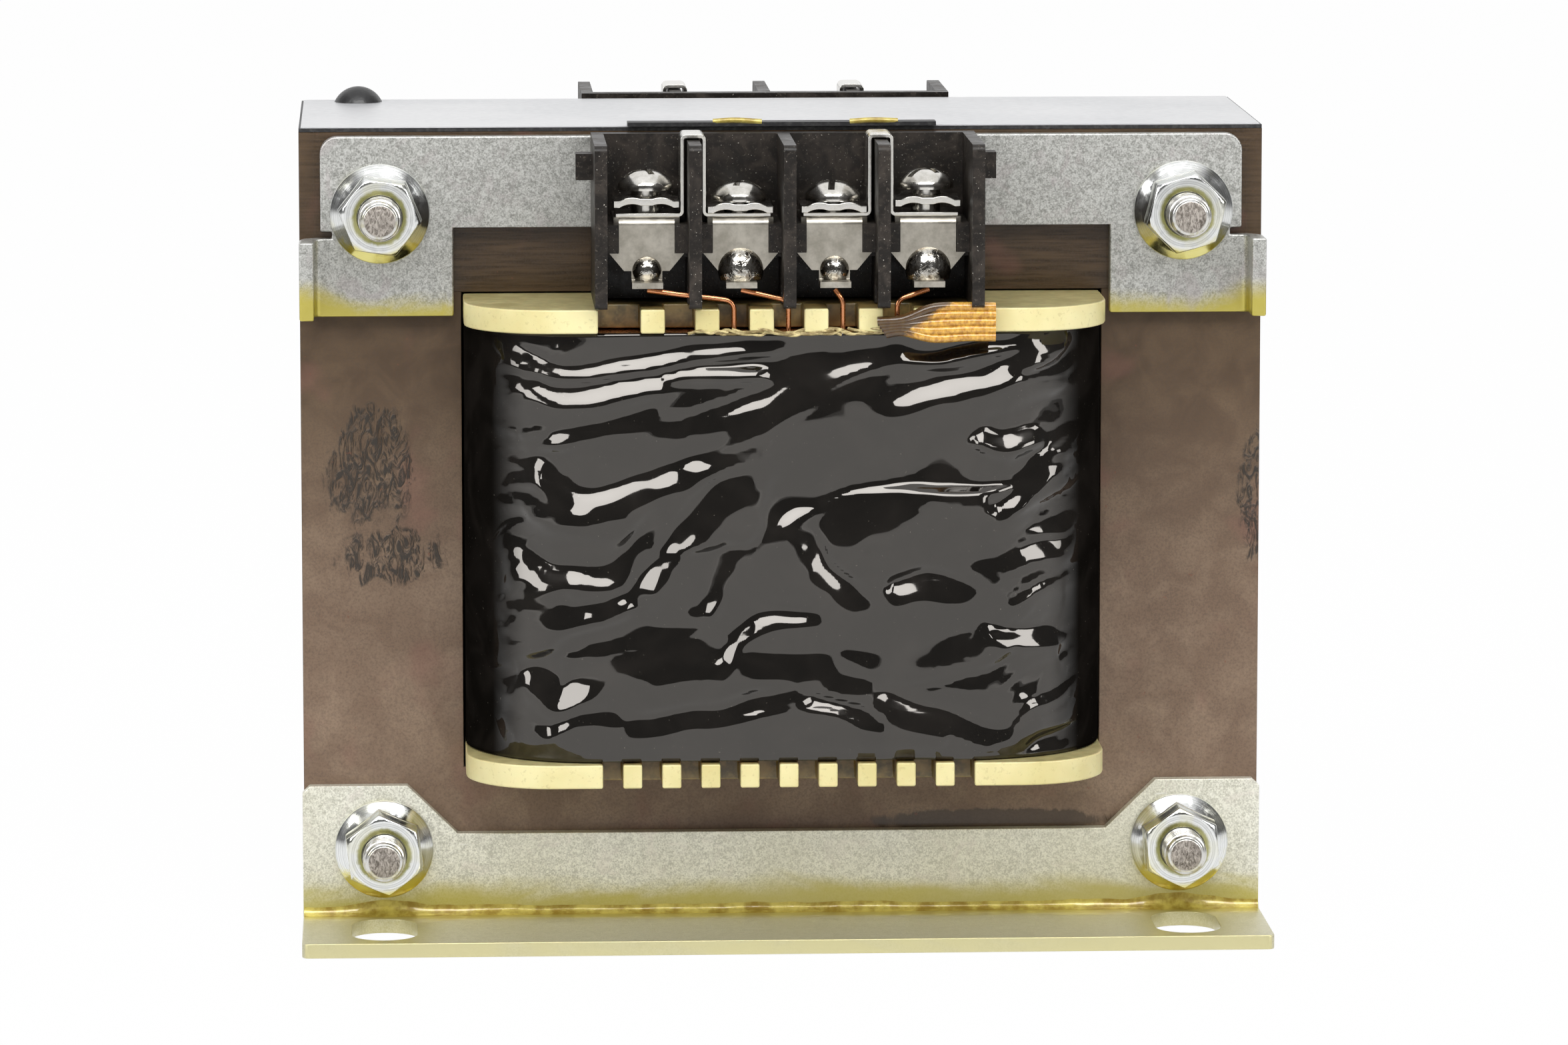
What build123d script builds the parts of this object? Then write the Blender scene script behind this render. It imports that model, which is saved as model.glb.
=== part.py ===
from build123d import *
import os
from math import radians, sin, sqrt

# Control transformer with an E and I sheet core, two four-pole terminal blocks and two bolted feet.
# Millimetres, Z up. The origin is on the mounting plane under the middle of the core.
# The primary terminals face the front, towards -Y, and the secondary ones face the rear.

# Core of stacked steel sheets
centre_leg = 44.4
side_leg = 22.2
yoke = 22.2
window_width = 22.2
window_height = 66.6
stack = 45.0
pack_count = 9
core_lift = 0.3

# Through bolts and their flange nuts
bolt_diameter = 6.0
bolt_length = 60.0
bolt_tip_chamfer = 0.8
bolt_head_flats = 8.0
bolt_head_height = 6.6
nut_flats = 10.0
nut_height = 6.0
nut_flange = 13.8
nut_flange_rim = 0.9
nut_flange_height = 2.4
crown_height = 0.6
crown_inset = 0.2
bore_chamfer = 0.5
nut_turns = (37, -8, 34, 16)
thread_clearance = 0.05
sleeve_wall = 0.5
sleeve_clearance = 0.1
plate_hole_clearance = 0.3

# Sheet steel of the feet and the upper clamps
sheet = 2.0
bend_radius = 1.0

# Feet
foot_overhang = 0.2
foot_reach = 21.2
foot_side_height = 20.2
foot_middle_height = 13.4
foot_tab_width = 14.6
foot_chamfer_width = 7.0
foot_corner = 1.0
slot_width = 9.0
slot_length = 15.5
slot_front_margin = 2.5

# Upper clamps
clamp_margin = 2.9
clamp_drop = 0.5
clamp_height = 24.9
clamp_leg = 18.3
clamp_crossbar = 12.6
clamp_corner = 2.4
ear_height = 10.8
ear_reach = 5.5
relief_height = 1.0
relief_depth = 1.6

# Cover plate and label on top of the core
cover_thickness = 0.5
label_thickness = 0.15
label_margin = 0.3
strip_width = 42.6
strip_depth = 3.0
strip_thickness = 0.55

# Bobbin
bobbin_wall = 2.0
bobbin_clearance = 0.25
window_clearance = 0.3
flange_thickness = 3.3
flange_reach = 21.0
flange_corner = 12.0
comb_depth = 7.0
upper_comb_width = 52.0
upper_tooth = 3.3
upper_tooth_pitch = 7.42
upper_tooth_count = 6
lower_comb_width = 51.0
lower_tooth = 2.6
lower_tooth_pitch = 5.36
lower_tooth_count = 9

# Windings and their wrap, from the bobbin outwards
primary_build = 8.0
insulation_build = 0.8
secondary_build = 7.2
wrap_build = 1.2
wrap_side_gap = 0.35
wrap_belly = 0.9
fold_count = 12
fold_length = 30.0
fold_rise = 0.8
fold_depth = 0.6
fold_span = 5.2
fold_lean = 0.8
fold_offset = 9.0
fold_tilt = 15.0
fold_tilt_change = 6.0
coil_end_gap = 0.2
coil_inner_corner = 1.5

# Terminal blocks
pole_count = 4
pole_pitch = 12.8
block_wall = 1.7
block_reach = 21.5
block_height = 22.3
block_seat_gap = 0.2
back_wall = 2.5
lower_back = 6.5
lower_back_height = 6.9
shelf_reach = 13.7
shelf_top = 11.0
shelf_thickness = 4.6
wall_corner = 1.0
lug_reach = 1.8
peg_reach = 2.3
peg_height = 3.6
peg_depth = 3.2
peg_drop = 2.0
rib_width = 40.0
rear_block_lift = 1.2
block_fit = 0.1

# Terminal plates under the screws
terminal_thickness = 0.8
terminal_bend = 0.2
terminal_top_width = 9.0
terminal_neck = 7.6
terminal_shoulder = 10.2
terminal_foot = 6.2
neck_drop = 4.8
taper_drop = 2.4
tab_drop = 2.1
tab_width = 4.2
tab_reach = 3.2

# Links over the second and fourth walls
link_thickness = 0.5
link_width = 7.4
link_gap = 0.4
link_top_gap = 0.25
link_foot = 9.1
link_bend = 0.3

# Terminal screws and pressure plates
screw_diameter = 4.0
screw_length = 8.4
screw_head = 7.6
screw_head_height = 2.6
screw_head_rim = 0.7
screw_shoulder_radius = 2.4
screw_shoulder_height = 2.1
screw_tip_chamfer = 0.5
screw_slot = 0.9
screw_slot_depth = 1.0
screw_cross_length = 4.6
pressure_size = 9.0
pressure_thickness = 0.9
pressure_wave = 0.5
pressure_edge = 0.8
pressure_middle = 0.8
pressure_dip = 0.3
pressure_hole_clearance = 0.25
pressure_seat = 0.05
screw_seat = 0.02
loose_lift = 1.6
screw_turns = (20, -12, 84, 40)

# Solder and winding leads
solder_radius = 2.0
solder_height = 1.5
large_solder_radius = 3.1
large_solder_height = 1.8
lead_diameter = 0.7
lead_rise = 0.9
lead_bend = 1.4
lead_fit = 0.05
lead_notch_height = 2.6
lead_notch_start = 13.7
lead_notch_end = 19.4

# Insulating sleeve bundle at the last primary terminal
sleeve_bundle_length = 14.8
sleeve_bundle_height = 5.6
sleeve_bundle_depth = 1.8
sleeve_bundle_x = 20.6
sleeve_bundle_rows = 4
sleeve_overlap = 1.08

# Sealant on the rear upper edge
dab_radius = 3.4
dab_height = 2.2
dab_x = 58.5

# Sizes that follow from those above
half_stack = stack / 2
core_width = centre_leg + 2 * window_width + 2 * side_leg
core_height = window_height + 2 * yoke
core_top = core_lift + core_height
foot_width = core_width + 2 * foot_overhang
clamp_width = core_width - 2 * clamp_margin
window_bottom = core_lift + yoke
window_top = window_bottom + window_height
half_inner = centre_leg / 2 + window_width
bolt_x = core_width / 2 - side_leg / 2
bolt_low = core_lift + yoke / 2
bolt_high = core_top - yoke / 2
clamp_face = half_stack + sheet
sleeve_outer = bolt_diameter / 2 + sleeve_clearance + sleeve_wall
core_hole = sleeve_outer + sleeve_clearance
plate_hole = bolt_diameter / 2 + plate_hole_clearance
clamp_top = core_top - clamp_drop
clamp_bottom = clamp_top - clamp_height
crossbar_bottom = clamp_top - clamp_crossbar
cover_top = core_top + cover_thickness
label_top = cover_top + label_thickness
bobbin_bottom = window_bottom + window_clearance
bobbin_top = window_top - window_clearance
flange_half_x = half_inner - window_clearance
flange_half_y = half_stack + flange_reach
tube_half_x = centre_leg / 2 + bobbin_clearance
tube_half_y = half_stack + bobbin_clearance
coil_bottom = bobbin_bottom + flange_thickness + coil_end_gap
coil_top = bobbin_top - flange_thickness - coil_end_gap
coil_height = coil_top - coil_bottom
block_width = pole_count * pole_pitch + block_wall
block_bottom = bobbin_top + block_seat_gap
link_y = shelf_reach - terminal_thickness - link_width / 2


def box(x_range, y_range, z_range):
    """Block between two limits on each axis."""
    size = [abs(high - low) for low, high in (x_range, y_range, z_range)]
    middle = [(low + high) / 2 for low, high in (x_range, y_range, z_range)]
    return Pos(*middle) * Box(*size)


def along_y(radius, low, high, x, z):
    """Round bar between two Y values."""
    return Pos(x, (low + high) / 2, z) * Rot(90, 0, 0) * Cylinder(radius, high - low)


def bolt_places():
    """X and Z of the four through bolts."""
    return [(x, z) for x in (-bolt_x, bolt_x) for z in (bolt_low, bolt_high)]


def rear_copy(shape, lift=0):
    """The same piece on the other side of the core, turned half way round."""
    return Pos(0, 0, lift) * Rot(0, 0, 180) * shape


def bent_strip(points, thickness, inner_radius):
    """Flat section of a strip that is bent at each middle point."""
    centre_line = FilletPolyline(*points, radius=inner_radius + thickness / 2)
    return trace(centre_line, thickness)


def save(name, *shapes):
    """Write one node from its separate solids."""
    solids = [solid for shape in shapes for solid in shape.solids()]
    export_step(solids[0] if len(solids) == 1 else Compound(children=solids), f"parts/{name}.step")


# Core

def core_packs():
    """E packs with their yokes down and up in turn, and the I packs that close them."""
    pack = stack / pack_count
    e_packs = []
    i_packs = []
    for index in range(pack_count):
        front = -half_stack + index * pack
        depth = (front, front + pack)
        e_range = (core_lift, window_top)
        i_range = (window_top, core_top)
        if index % 2:
            e_range = (window_bottom, core_top)
            i_range = (core_lift, window_bottom)
        e_pack = box((-core_width / 2, core_width / 2), depth, e_range)
        for side in (-1, 1):
            window = (side * centre_leg / 2, side * half_inner)
            e_pack -= box(window, depth, (window_bottom, window_top))
        i_pack = box((-core_width / 2, core_width / 2), depth, i_range)
        for x, z in bolt_places():
            hole = along_y(core_hole, *depth, x, z)
            in_i_pack = i_range[0] < z < i_range[1]
            if in_i_pack:
                i_pack -= hole
            else:
                e_pack -= hole
        e_packs.append(e_pack)
        i_packs.append(i_pack)
    return e_packs, i_packs


# Fasteners

def flanged_hex(flats, height):
    """Hexagon with a round flange at its foot, standing on Z = 0."""
    hexagon = extrude(RegularPolygon(flats / 2, 6, major_radius=False), height)
    corner = flats / sqrt(3)
    crown = Polyline(
        (0, 0),
        (corner, 0),
        (corner, height - crown_height),
        (flats / 2 - crown_inset, height),
        (0, height),
        close=True,
    )
    hexagon &= revolve(Plane.XZ * make_face(crown), Axis.Z)
    flange = Polyline(
        (0, 0),
        (nut_flange / 2, 0),
        (nut_flange / 2, nut_flange_rim),
        (flats / 2 - crown_inset / 2, nut_flange_height),
        (0, nut_flange_height),
        close=True,
    )
    return hexagon + revolve(Plane.XZ * make_face(flange), Axis.Z)


def flange_nut():
    """Nut with its flange face on Z = 0 and a chamfered bore."""
    nut = flanged_hex(nut_flats, nut_height)
    bore = bolt_diameter / 2 + thread_clearance
    nut -= Cylinder(bore, 2 * nut_height)
    nut -= Pos(0, 0, nut_height) * Cone(bore - bore_chamfer, bore + bore_chamfer, 2 * bore_chamfer)
    return nut


def through_bolt():
    """Bolt with its head's flange face on Z = 0 and its shank down."""
    head = flanged_hex(bolt_head_flats, bolt_head_height)
    shank = Pos(0, 0, -bolt_length / 2) * Cylinder(bolt_diameter / 2, bolt_length)
    tip = shank.edges().sort_by(Axis.Z)[0]
    return head + chamfer(tip, bolt_tip_chamfer)


def fasteners():
    """Bolts in from the rear, nuts on the front and a sleeve round each shank in the core."""
    bolts = []
    nuts = []
    sleeves = []
    for (x, z), turn in zip(bolt_places(), nut_turns):
        bolts.append(Pos(x, clamp_face, z) * Rot(-90, 0, 0) * Rot(0, 0, turn) * through_bolt())
        nuts.append(Pos(x, -clamp_face, z) * Rot(90, 0, 0) * Rot(0, 0, turn) * flange_nut())
        sleeve = along_y(sleeve_outer, -half_stack, half_stack, x, z)
        sleeve -= along_y(sleeve_outer - sleeve_wall, -half_stack, half_stack, x, z)
        sleeves.append(sleeve)
    return bolts, nuts, sleeves


# Feet and clamps

def foot():
    """Front foot: an angle with a dropped middle, two slots and two bolt holes."""
    section = bent_strip(
        [
            (-half_stack - sheet / 2, foot_side_height),
            (-half_stack - sheet / 2, sheet / 2),
            (-clamp_face - foot_reach, sheet / 2),
        ],
        sheet,
        bend_radius,
    )
    angle = extrude(Plane.YZ * section, foot_width / 2, both=True)
    shoulder = foot_width / 2 - foot_tab_width
    dip = Polyline(
        (-shoulder, foot_side_height),
        (-shoulder + foot_chamfer_width, foot_middle_height),
        (shoulder - foot_chamfer_width, foot_middle_height),
        (shoulder, foot_side_height),
        close=True,
    )
    angle -= Pos(0, -half_stack, 0) * extrude(Plane.XZ * make_face(dip), sheet)
    front = -clamp_face - foot_reach
    corners = angle.edges().filter_by(Axis.Z).group_by(Axis.Y)[0]
    angle = fillet(corners, foot_corner)
    tops = angle.edges().filter_by(Axis.Y).group_by(Axis.Z)[-1]
    outer_tops = [edge for edge in tops if abs(edge.center().X) > shoulder + 1]
    angle = chamfer(outer_tops, foot_corner)
    slot_y = front + slot_front_margin + slot_length / 2
    for x in (-bolt_x, bolt_x):
        slot = Pos(x, slot_y, 0) * Rot(0, 0, 90) * SlotOverall(slot_length, slot_width)
        angle -= extrude(slot, sheet)
        angle -= along_y(plate_hole, -clamp_face, -half_stack, x, bolt_low)
    return angle


def clamp():
    """Front clamp: a crossbar with two legs, and an ear bent forward at the foot of each leg."""
    outline = Pos(0, clamp_top - clamp_height / 2) * Rectangle(clamp_width, clamp_height)
    outline = fillet(outline.vertices().group_by(Axis.Y)[-1], clamp_corner)
    inner_width = clamp_width - 2 * clamp_leg
    inner_height = clamp_height - clamp_crossbar
    outline -= Pos(0, clamp_bottom + inner_height / 2) * Rectangle(inner_width, inner_height)
    plate = Pos(0, -half_stack, 0) * extrude(Plane.XZ * outline, sheet)
    ear_top = clamp_bottom + ear_height
    for side in (-1, 1):
        section = bent_strip(
            [
                (side * (clamp_width / 2 - 2 * relief_depth), -half_stack - sheet / 2),
                (side * (core_width / 2 - sheet / 2), -half_stack - sheet / 2),
                (side * (core_width / 2 - sheet / 2), -clamp_face - ear_reach),
            ],
            sheet,
            bend_radius,
        )
        plate += Pos(0, 0, clamp_bottom) * extrude(section, ear_height)
        notch = (side * (clamp_width / 2 - relief_depth), side * clamp_width / 2)
        plate -= box(notch, (-clamp_face, -half_stack), (ear_top, ear_top + relief_height))
        plate -= along_y(plate_hole, -clamp_face, -half_stack, side * bolt_x, bolt_high)
    return plate


def cover_and_label():
    """Thin plate over the core's top, and the printed label on it."""
    half_x = core_width / 2
    cover = box((-half_x, half_x), (-half_stack, half_stack), (core_top, cover_top))
    label_x = half_x - label_margin
    label_y = half_stack - label_margin
    label = box((-label_x, label_x), (-label_y, label_y), (cover_top, label_top))
    return cover, label


def edge_strip():
    """Fibre strip glued on the label's front edge, behind the front block."""
    back = -half_stack + strip_depth - sheet / 2
    top = label_top + strip_thickness
    return box((-strip_width / 2, strip_width / 2), (back - strip_depth, back), (label_top, top))


# Bobbin and windings

def flange(bottom, comb_width, tooth, pitch, count):
    """Bobbin flange whose front and rear edges each carry a comb for the leads."""
    outline = RectangleRounded(2 * flange_half_x, 2 * flange_half_y, flange_corner)
    plate = Pos(0, 0, bottom) * extrude(outline, flange_thickness)
    rise = (bottom, bottom + flange_thickness)
    for side in (-1, 1):
        depth = (side * (flange_half_y - comb_depth), side * flange_half_y)
        plate -= box((-comb_width / 2, comb_width / 2), depth, rise)
        first = -(count - 1) * pitch / 2
        for index in range(count):
            x = first + index * pitch
            plate += box((x - tooth / 2, x + tooth / 2), depth, rise)
    return plate


def bobbin():
    """Square tube round the centre leg between two flanges."""
    outline = RectangleRounded(
        2 * (tube_half_x + bobbin_wall), 2 * (tube_half_y + bobbin_wall), coil_inner_corner
    )
    body = Pos(0, 0, bobbin_bottom) * extrude(outline, bobbin_top - bobbin_bottom)
    top_flange_bottom = bobbin_top - flange_thickness
    body += flange(top_flange_bottom, upper_comb_width, upper_tooth, upper_tooth_pitch, upper_tooth_count)
    body += flange(bobbin_bottom, lower_comb_width, lower_tooth, lower_tooth_pitch, lower_tooth_count)
    bore = (bobbin_bottom, bobbin_top)
    body -= box((-tube_half_x, tube_half_x), (-tube_half_y, tube_half_y), bore)
    return body


def winding_layer(inner_build, build):
    """Rounded ring round the bobbin tube, built up from one depth of winding to the next."""
    inner_x = tube_half_x + bobbin_wall + inner_build
    inner_y = tube_half_y + bobbin_wall + inner_build
    inner_corner = coil_inner_corner + inner_build
    outer = RectangleRounded(2 * (inner_x + build), 2 * (inner_y + build), inner_corner + build)
    inner = RectangleRounded(2 * inner_x, 2 * inner_y, inner_corner)
    return Pos(0, 0, coil_bottom) * extrude(outer - inner, coil_height)


def film_folds(face):
    """Long folds that stand on the front of the film and rise to the right, left and right in turn."""
    section = Polygon((-fold_rise, -fold_lean), (fold_depth, fold_span / 2), (fold_depth, -fold_span / 2), align=None)
    tips = [Vertex(side * fold_length / 2, 0, 0) for side in (-1, 1)]
    crest = loft([tips[0], *(Plane.YZ * section).faces(), tips[1]], ruled=True)
    folds = []
    for index in range(fold_count):
        side = 1 if index % 2 else -1
        level = coil_bottom + (0.2 + 0.6 * (index + 0.5) / fold_count) * coil_height
        tilt = fold_tilt + fold_tilt_change * sin(radians(100 * index))
        folds.append(Pos(side * fold_offset, -face, level) * Rot(0, -tilt, 0) * crest)
    return folds


def outer_wrap():
    """Folded film wrap that swells at mid height, and whose packing fills the window at the sides."""
    inner_build = primary_build + insulation_build + secondary_build
    inner_x = tube_half_x + bobbin_wall + inner_build
    inner_y = tube_half_y + bobbin_wall + inner_build
    corner = coil_inner_corner + inner_build + wrap_build
    sections = Sketch()
    for share, swell in ((0, 0), (0.15, wrap_belly), (0.85, wrap_belly), (1, 0)):
        half_x = half_inner - wrap_side_gap
        half_y = inner_y + wrap_build + swell
        level = coil_bottom + share * coil_height
        sections += Pos(0, 0, level) * RectangleRounded(2 * half_x, 2 * half_y, corner)
    wrap = loft(sections, ruled=True)
    for fold in film_folds(inner_y + wrap_build + wrap_belly):
        wrap += [fold, rear_copy(fold)]
    inner = RectangleRounded(2 * inner_x, 2 * inner_y, corner - wrap_build)
    return wrap - Pos(0, 0, coil_bottom) * extrude(inner, coil_height)


# Terminal block, modelled at the front

def bay_centres():
    """X of the middle of each terminal bay."""
    return [(index - (pole_count - 1) / 2) * pole_pitch for index in range(pole_count)]


def wall_centres():
    """X of the middle of each barrier wall."""
    return [(index - pole_count / 2) * pole_pitch for index in range(pole_count + 1)]


def block_box(x_range, reach_range, height_range):
    """Block placed by its reach from the clamp's face and its height over the block's foot."""
    y_range = [-clamp_face - reach for reach in reach_range]
    z_range = [block_bottom + height for height in height_range]
    return box(x_range, y_range, z_range)


def terminal_block():
    """Moulded body with five barrier walls, a shelf for the terminals and two side pegs."""
    half = block_width / 2
    body = block_box((-half, half), (0, back_wall), (0, block_height))
    body += block_box((-half, half), (0, lower_back), (0, lower_back_height))
    shelf = block_box((-half, half), (0, shelf_reach), (shelf_top - shelf_thickness, shelf_top))
    shelf_edge = shelf.edges().filter_by(Axis.X).group_by(Axis.Y)[0].sort_by(Axis.Z)[-1]
    body += fillet(shelf_edge, terminal_bend + block_fit)
    rib_top = crossbar_bottom - block_bottom - rear_block_lift - block_fit
    body += block_box((-rib_width / 2, rib_width / 2), (-sheet, 0), (0, rib_top))
    for x in wall_centres():
        wall = block_box((x - block_wall / 2, x + block_wall / 2), (0, block_reach), (0, block_height))
        front_edges = wall.edges().filter_by(Axis.X).group_by(Axis.Y)[0]
        wall = fillet(front_edges, wall_corner)
        if abs(x) < half - block_wall:
            notch = (x - block_wall, x + block_wall)
            wall -= block_box(notch, (lead_notch_start, lead_notch_end), (0, lead_notch_height))
        body += wall
    for side in (-1, 1):
        peg = (side * half, side * (half + peg_reach))
        peg_top = block_height - peg_drop
        peg_y = (link_y - peg_depth / 2, link_y + peg_depth / 2)
        body += block_box(peg, peg_y, (peg_top - peg_height, peg_top))
    neck_side = terminal_neck / 2 + block_fit
    bay_side = (pole_pitch - block_wall) / 2
    lug_rise = (shelf_top + terminal_thickness - neck_drop + block_fit, shelf_top)
    for x in bay_centres():
        for side in (-1, 1):
            lug = (x + side * neck_side, x + side * bay_side)
            body += block_box(lug, (shelf_reach, shelf_reach + lug_reach), lug_rise)
        body -= Pos(x, -clamp_face - link_y, block_bottom + shelf_top) * Cylinder(
            screw_diameter / 2 + block_fit, 2 * shelf_thickness + 1
        )
    return body


def terminal_plate(x):
    """Plate bent over the shelf's front edge, with shoulders, a taper and a solder tab."""
    top = block_bottom + shelf_top + terminal_thickness
    front = -clamp_face - shelf_reach - terminal_thickness
    neck_bottom = top - neck_drop
    taper_bottom = neck_bottom - taper_drop
    tab_bottom = taper_bottom - tab_drop
    section = bent_strip(
        [
            (-clamp_face - back_wall - 1, top - terminal_thickness / 2),
            (front + terminal_thickness / 2, top - terminal_thickness / 2),
            (front + terminal_thickness / 2, tab_bottom + terminal_thickness / 2),
            (front - tab_reach, tab_bottom + terminal_thickness / 2),
        ],
        terminal_thickness,
        terminal_bend,
    )
    strip = Pos(x, 0, 0) * extrude(Plane.YZ * section, terminal_shoulder / 2, both=True)
    half_top = terminal_top_width / 2
    half_neck = terminal_neck / 2
    half_shoulder = terminal_shoulder / 2
    half_foot = terminal_foot / 2
    half_tab = tab_width / 2
    front_outline = Polyline(
        (x - half_neck, top),
        (x - half_neck, neck_bottom),
        (x - half_shoulder, neck_bottom),
        (x - half_foot, taper_bottom),
        (x - half_tab, taper_bottom),
        (x - half_tab, tab_bottom),
        (x + half_tab, tab_bottom),
        (x + half_tab, taper_bottom),
        (x + half_foot, taper_bottom),
        (x + half_shoulder, neck_bottom),
        (x + half_neck, neck_bottom),
        (x + half_neck, top),
        close=True,
    )
    bend_line = front + terminal_thickness
    front_part = Pos(0, bend_line, 0) * extrude(Plane.XZ * make_face(front_outline), 2 * tab_reach)
    top_range = (top - 2 * terminal_thickness, top)
    top_part = box((x - half_top, x + half_top), (bend_line, -clamp_face), top_range)
    plate = strip & (front_part + top_part)
    return plate - Pos(x, -clamp_face - link_y, top) * Cylinder(screw_diameter / 2 + thread_clearance, 4)


def link(wall_x):
    """Strip that runs over one wall and joins the terminals on its two sides."""
    low = block_bottom + shelf_top + terminal_thickness + link_thickness / 2
    high = block_bottom + block_height + link_top_gap + link_thickness / 2
    half = block_wall / 2 + link_gap + link_thickness / 2
    reach = half + link_foot
    section = bent_strip(
        [
            (wall_x - reach, low),
            (wall_x - half, low),
            (wall_x - half, high),
            (wall_x + half, high),
            (wall_x + half, low),
            (wall_x + reach, low),
        ],
        link_thickness,
        link_bend,
    )
    strip = Pos(0, -clamp_face - link_y, 0) * extrude(Plane.XZ * section, link_width / 2, both=True)
    for side in (-1, 1):
        hole_x = wall_x + side * pole_pitch / 2
        strip -= Pos(hole_x, -clamp_face - link_y, low) * Cylinder(screw_diameter / 2 + block_fit, 3)
    return strip


def pressure_plate():
    """Square plate pressed into two waves, with its lowest points on Z = 0."""
    half = pressure_size / 2
    quarter = pressure_size / 4
    edge = half - pressure_edge
    lower = [
        Line((-half, 0), (-edge, 0)),
        ThreePointArc((-edge, 0), (-quarter, pressure_wave), (-pressure_middle, pressure_dip)),
        Line((-pressure_middle, pressure_dip), (pressure_middle, pressure_dip)),
        ThreePointArc((pressure_middle, pressure_dip), (quarter, pressure_wave), (edge, 0)),
        Line((edge, 0), (half, 0)),
    ]
    upper = [Pos(0, pressure_thickness) * curve for curve in lower]
    ends = [Line((side * half, 0), (side * half, pressure_thickness)) for side in (-1, 1)]
    section = make_face(lower + upper + ends)
    plate = extrude(Plane.XZ * section, pressure_size / 2, both=True)
    hole = screw_diameter / 2 + pressure_hole_clearance
    return plate - Cylinder(hole, 6)


def terminal_screw():
    """Pan head screw with a full slot and a short cross slot, head underside on Z = 0."""
    radius = screw_head / 2
    rim = (radius, screw_head_rim)
    shoulder = (screw_shoulder_radius, screw_shoulder_height)
    crown = (0, screw_head_height)
    profile = make_face(
        [
            Line((0, 0), (radius, 0)),
            Line((radius, 0), rim),
            ThreePointArc(rim, shoulder, crown),
            Line(crown, (0, 0)),
        ]
    )
    head = revolve(Plane.XZ * profile, Axis.Z)
    head -= Pos(0, 0, screw_head_height) * Box(2 * radius, screw_slot, 2 * screw_slot_depth)
    head -= Pos(0, 0, screw_head_height) * Box(screw_slot, screw_cross_length, 2 * screw_slot_depth)
    shank = Pos(0, 0, -screw_length / 2) * Cylinder(screw_diameter / 2, screw_length)
    tip = shank.edges().sort_by(Axis.Z)[0]
    return head + chamfer(tip, screw_tip_chamfer)


def is_loose(index):
    """The two outer screws of a block are backed off a little."""
    return index in (0, pole_count - 1)


def screw_set():
    """One pressure plate and one screw at each terminal."""
    seat = block_bottom + shelf_top + terminal_thickness + link_thickness
    plates = []
    screws = []
    for index, x in enumerate(bay_centres()):
        lift = loose_lift if is_loose(index) else 0
        plate_z = seat + pressure_seat + lift / 2
        plates.append(Pos(x, -clamp_face - link_y, plate_z) * pressure_plate())
        screw_z = seat + pressure_seat + pressure_wave + pressure_thickness + screw_seat + lift
        screws.append(Pos(x, -clamp_face - link_y, screw_z) * Rot(0, 0, screw_turns[index]) * terminal_screw())
    return plates, screws


def solder_dome(radius, height):
    """Cap of a sphere on the plane Y = 0, pointing forward."""
    sphere_radius = (radius * radius + height * height) / (2 * height)
    half_chord = sqrt(radius * radius + height * height) / 2
    sagitta = sphere_radius - sqrt(sphere_radius * sphere_radius - half_chord * half_chord)
    bulge = sagitta / (2 * half_chord)
    middle = (radius / 2 + bulge * height, -height / 2 - bulge * radius)
    profile = make_face(
        [
            Line((0, 0), (radius, 0)),
            ThreePointArc((radius, 0), middle, (0, -height)),
            Line((0, -height), (0, 0)),
        ]
    )
    return revolve(profile, Axis.Y)


def solder_set(plates):
    """Domes of solder over each tab, small on the first and third terminal and large on the others."""
    front = -clamp_face - shelf_reach - terminal_thickness
    taper_bottom = block_bottom + shelf_top + terminal_thickness - neck_drop - taper_drop
    floor = taper_bottom - tab_drop + terminal_thickness
    domes = []
    for index, x in enumerate(bay_centres()):
        radius = large_solder_radius if index % 2 else solder_radius
        height = large_solder_height if index % 2 else solder_height
        dome = Pos(x, front, taper_bottom) * solder_dome(radius, height)
        reach = 2 * large_solder_radius
        dome -= box((x - reach, x + reach), (front - reach, front), (floor - reach, floor))
        domes.append(dome - plates[index])
    return domes


def winding_leads(lift=0):
    """Copper leads from under the tabs, through the comb of the upper flange to the coil."""
    front = -clamp_face - shelf_reach - terminal_thickness
    tab_bottom = block_bottom + lift + shelf_top + terminal_thickness - neck_drop - taper_drop - tab_drop
    radius = lead_diameter / 2
    slot_y = -flange_half_y + comb_depth / 3
    leads = []
    for index, x in enumerate(bay_centres()):
        slot_x = (index - 1) * upper_tooth_pitch
        points = [
            (x, front - tab_reach / 2, tab_bottom - radius - lead_fit),
            (slot_x, slot_y, bobbin_top + lead_rise),
            (slot_x, slot_y, coil_top + lead_fit),
        ]
        path = FilletPolyline(*points, radius=lead_bend)
        section = Plane(origin=path @ 0, z_dir=path % 0) * Circle(radius)
        leads.append(sweep(section, path))
    return leads


def sleeve_bundle():
    """Flat insulating sleeves folded over the upper flange beside the last lead."""
    low = bobbin_top - sleeve_bundle_height
    rows = []
    row_height = sleeve_bundle_height / sleeve_bundle_rows
    face = -flange_half_y - window_clearance
    section = Sketch()
    for index in range(sleeve_bundle_rows):
        z = low + (index + 0.5) * row_height
        sleeve = SlotOverall(sleeve_bundle_depth, sleeve_overlap * row_height)
        section += Pos(face - sleeve_bundle_depth / 2, z) * sleeve
    bundle = extrude(Plane.YZ * section, sleeve_bundle_length / 2, both=True)
    return Pos(sleeve_bundle_x, 0, 0) * bundle


def sealant_dab():
    """Drop of sealant on the rear edge of the cover."""
    sphere_radius = (dab_radius * dab_radius + dab_height * dab_height) / (2 * dab_height)
    middle_y = half_stack - label_margin - dab_radius
    ball = Pos(-dab_x, middle_y, label_top + dab_height - sphere_radius) * Sphere(sphere_radius)
    x_range = (-dab_x - dab_radius, -dab_x + dab_radius)
    return ball & box(x_range, (0, half_stack), (label_top, label_top + 2 * dab_height))


# Write every node

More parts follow.
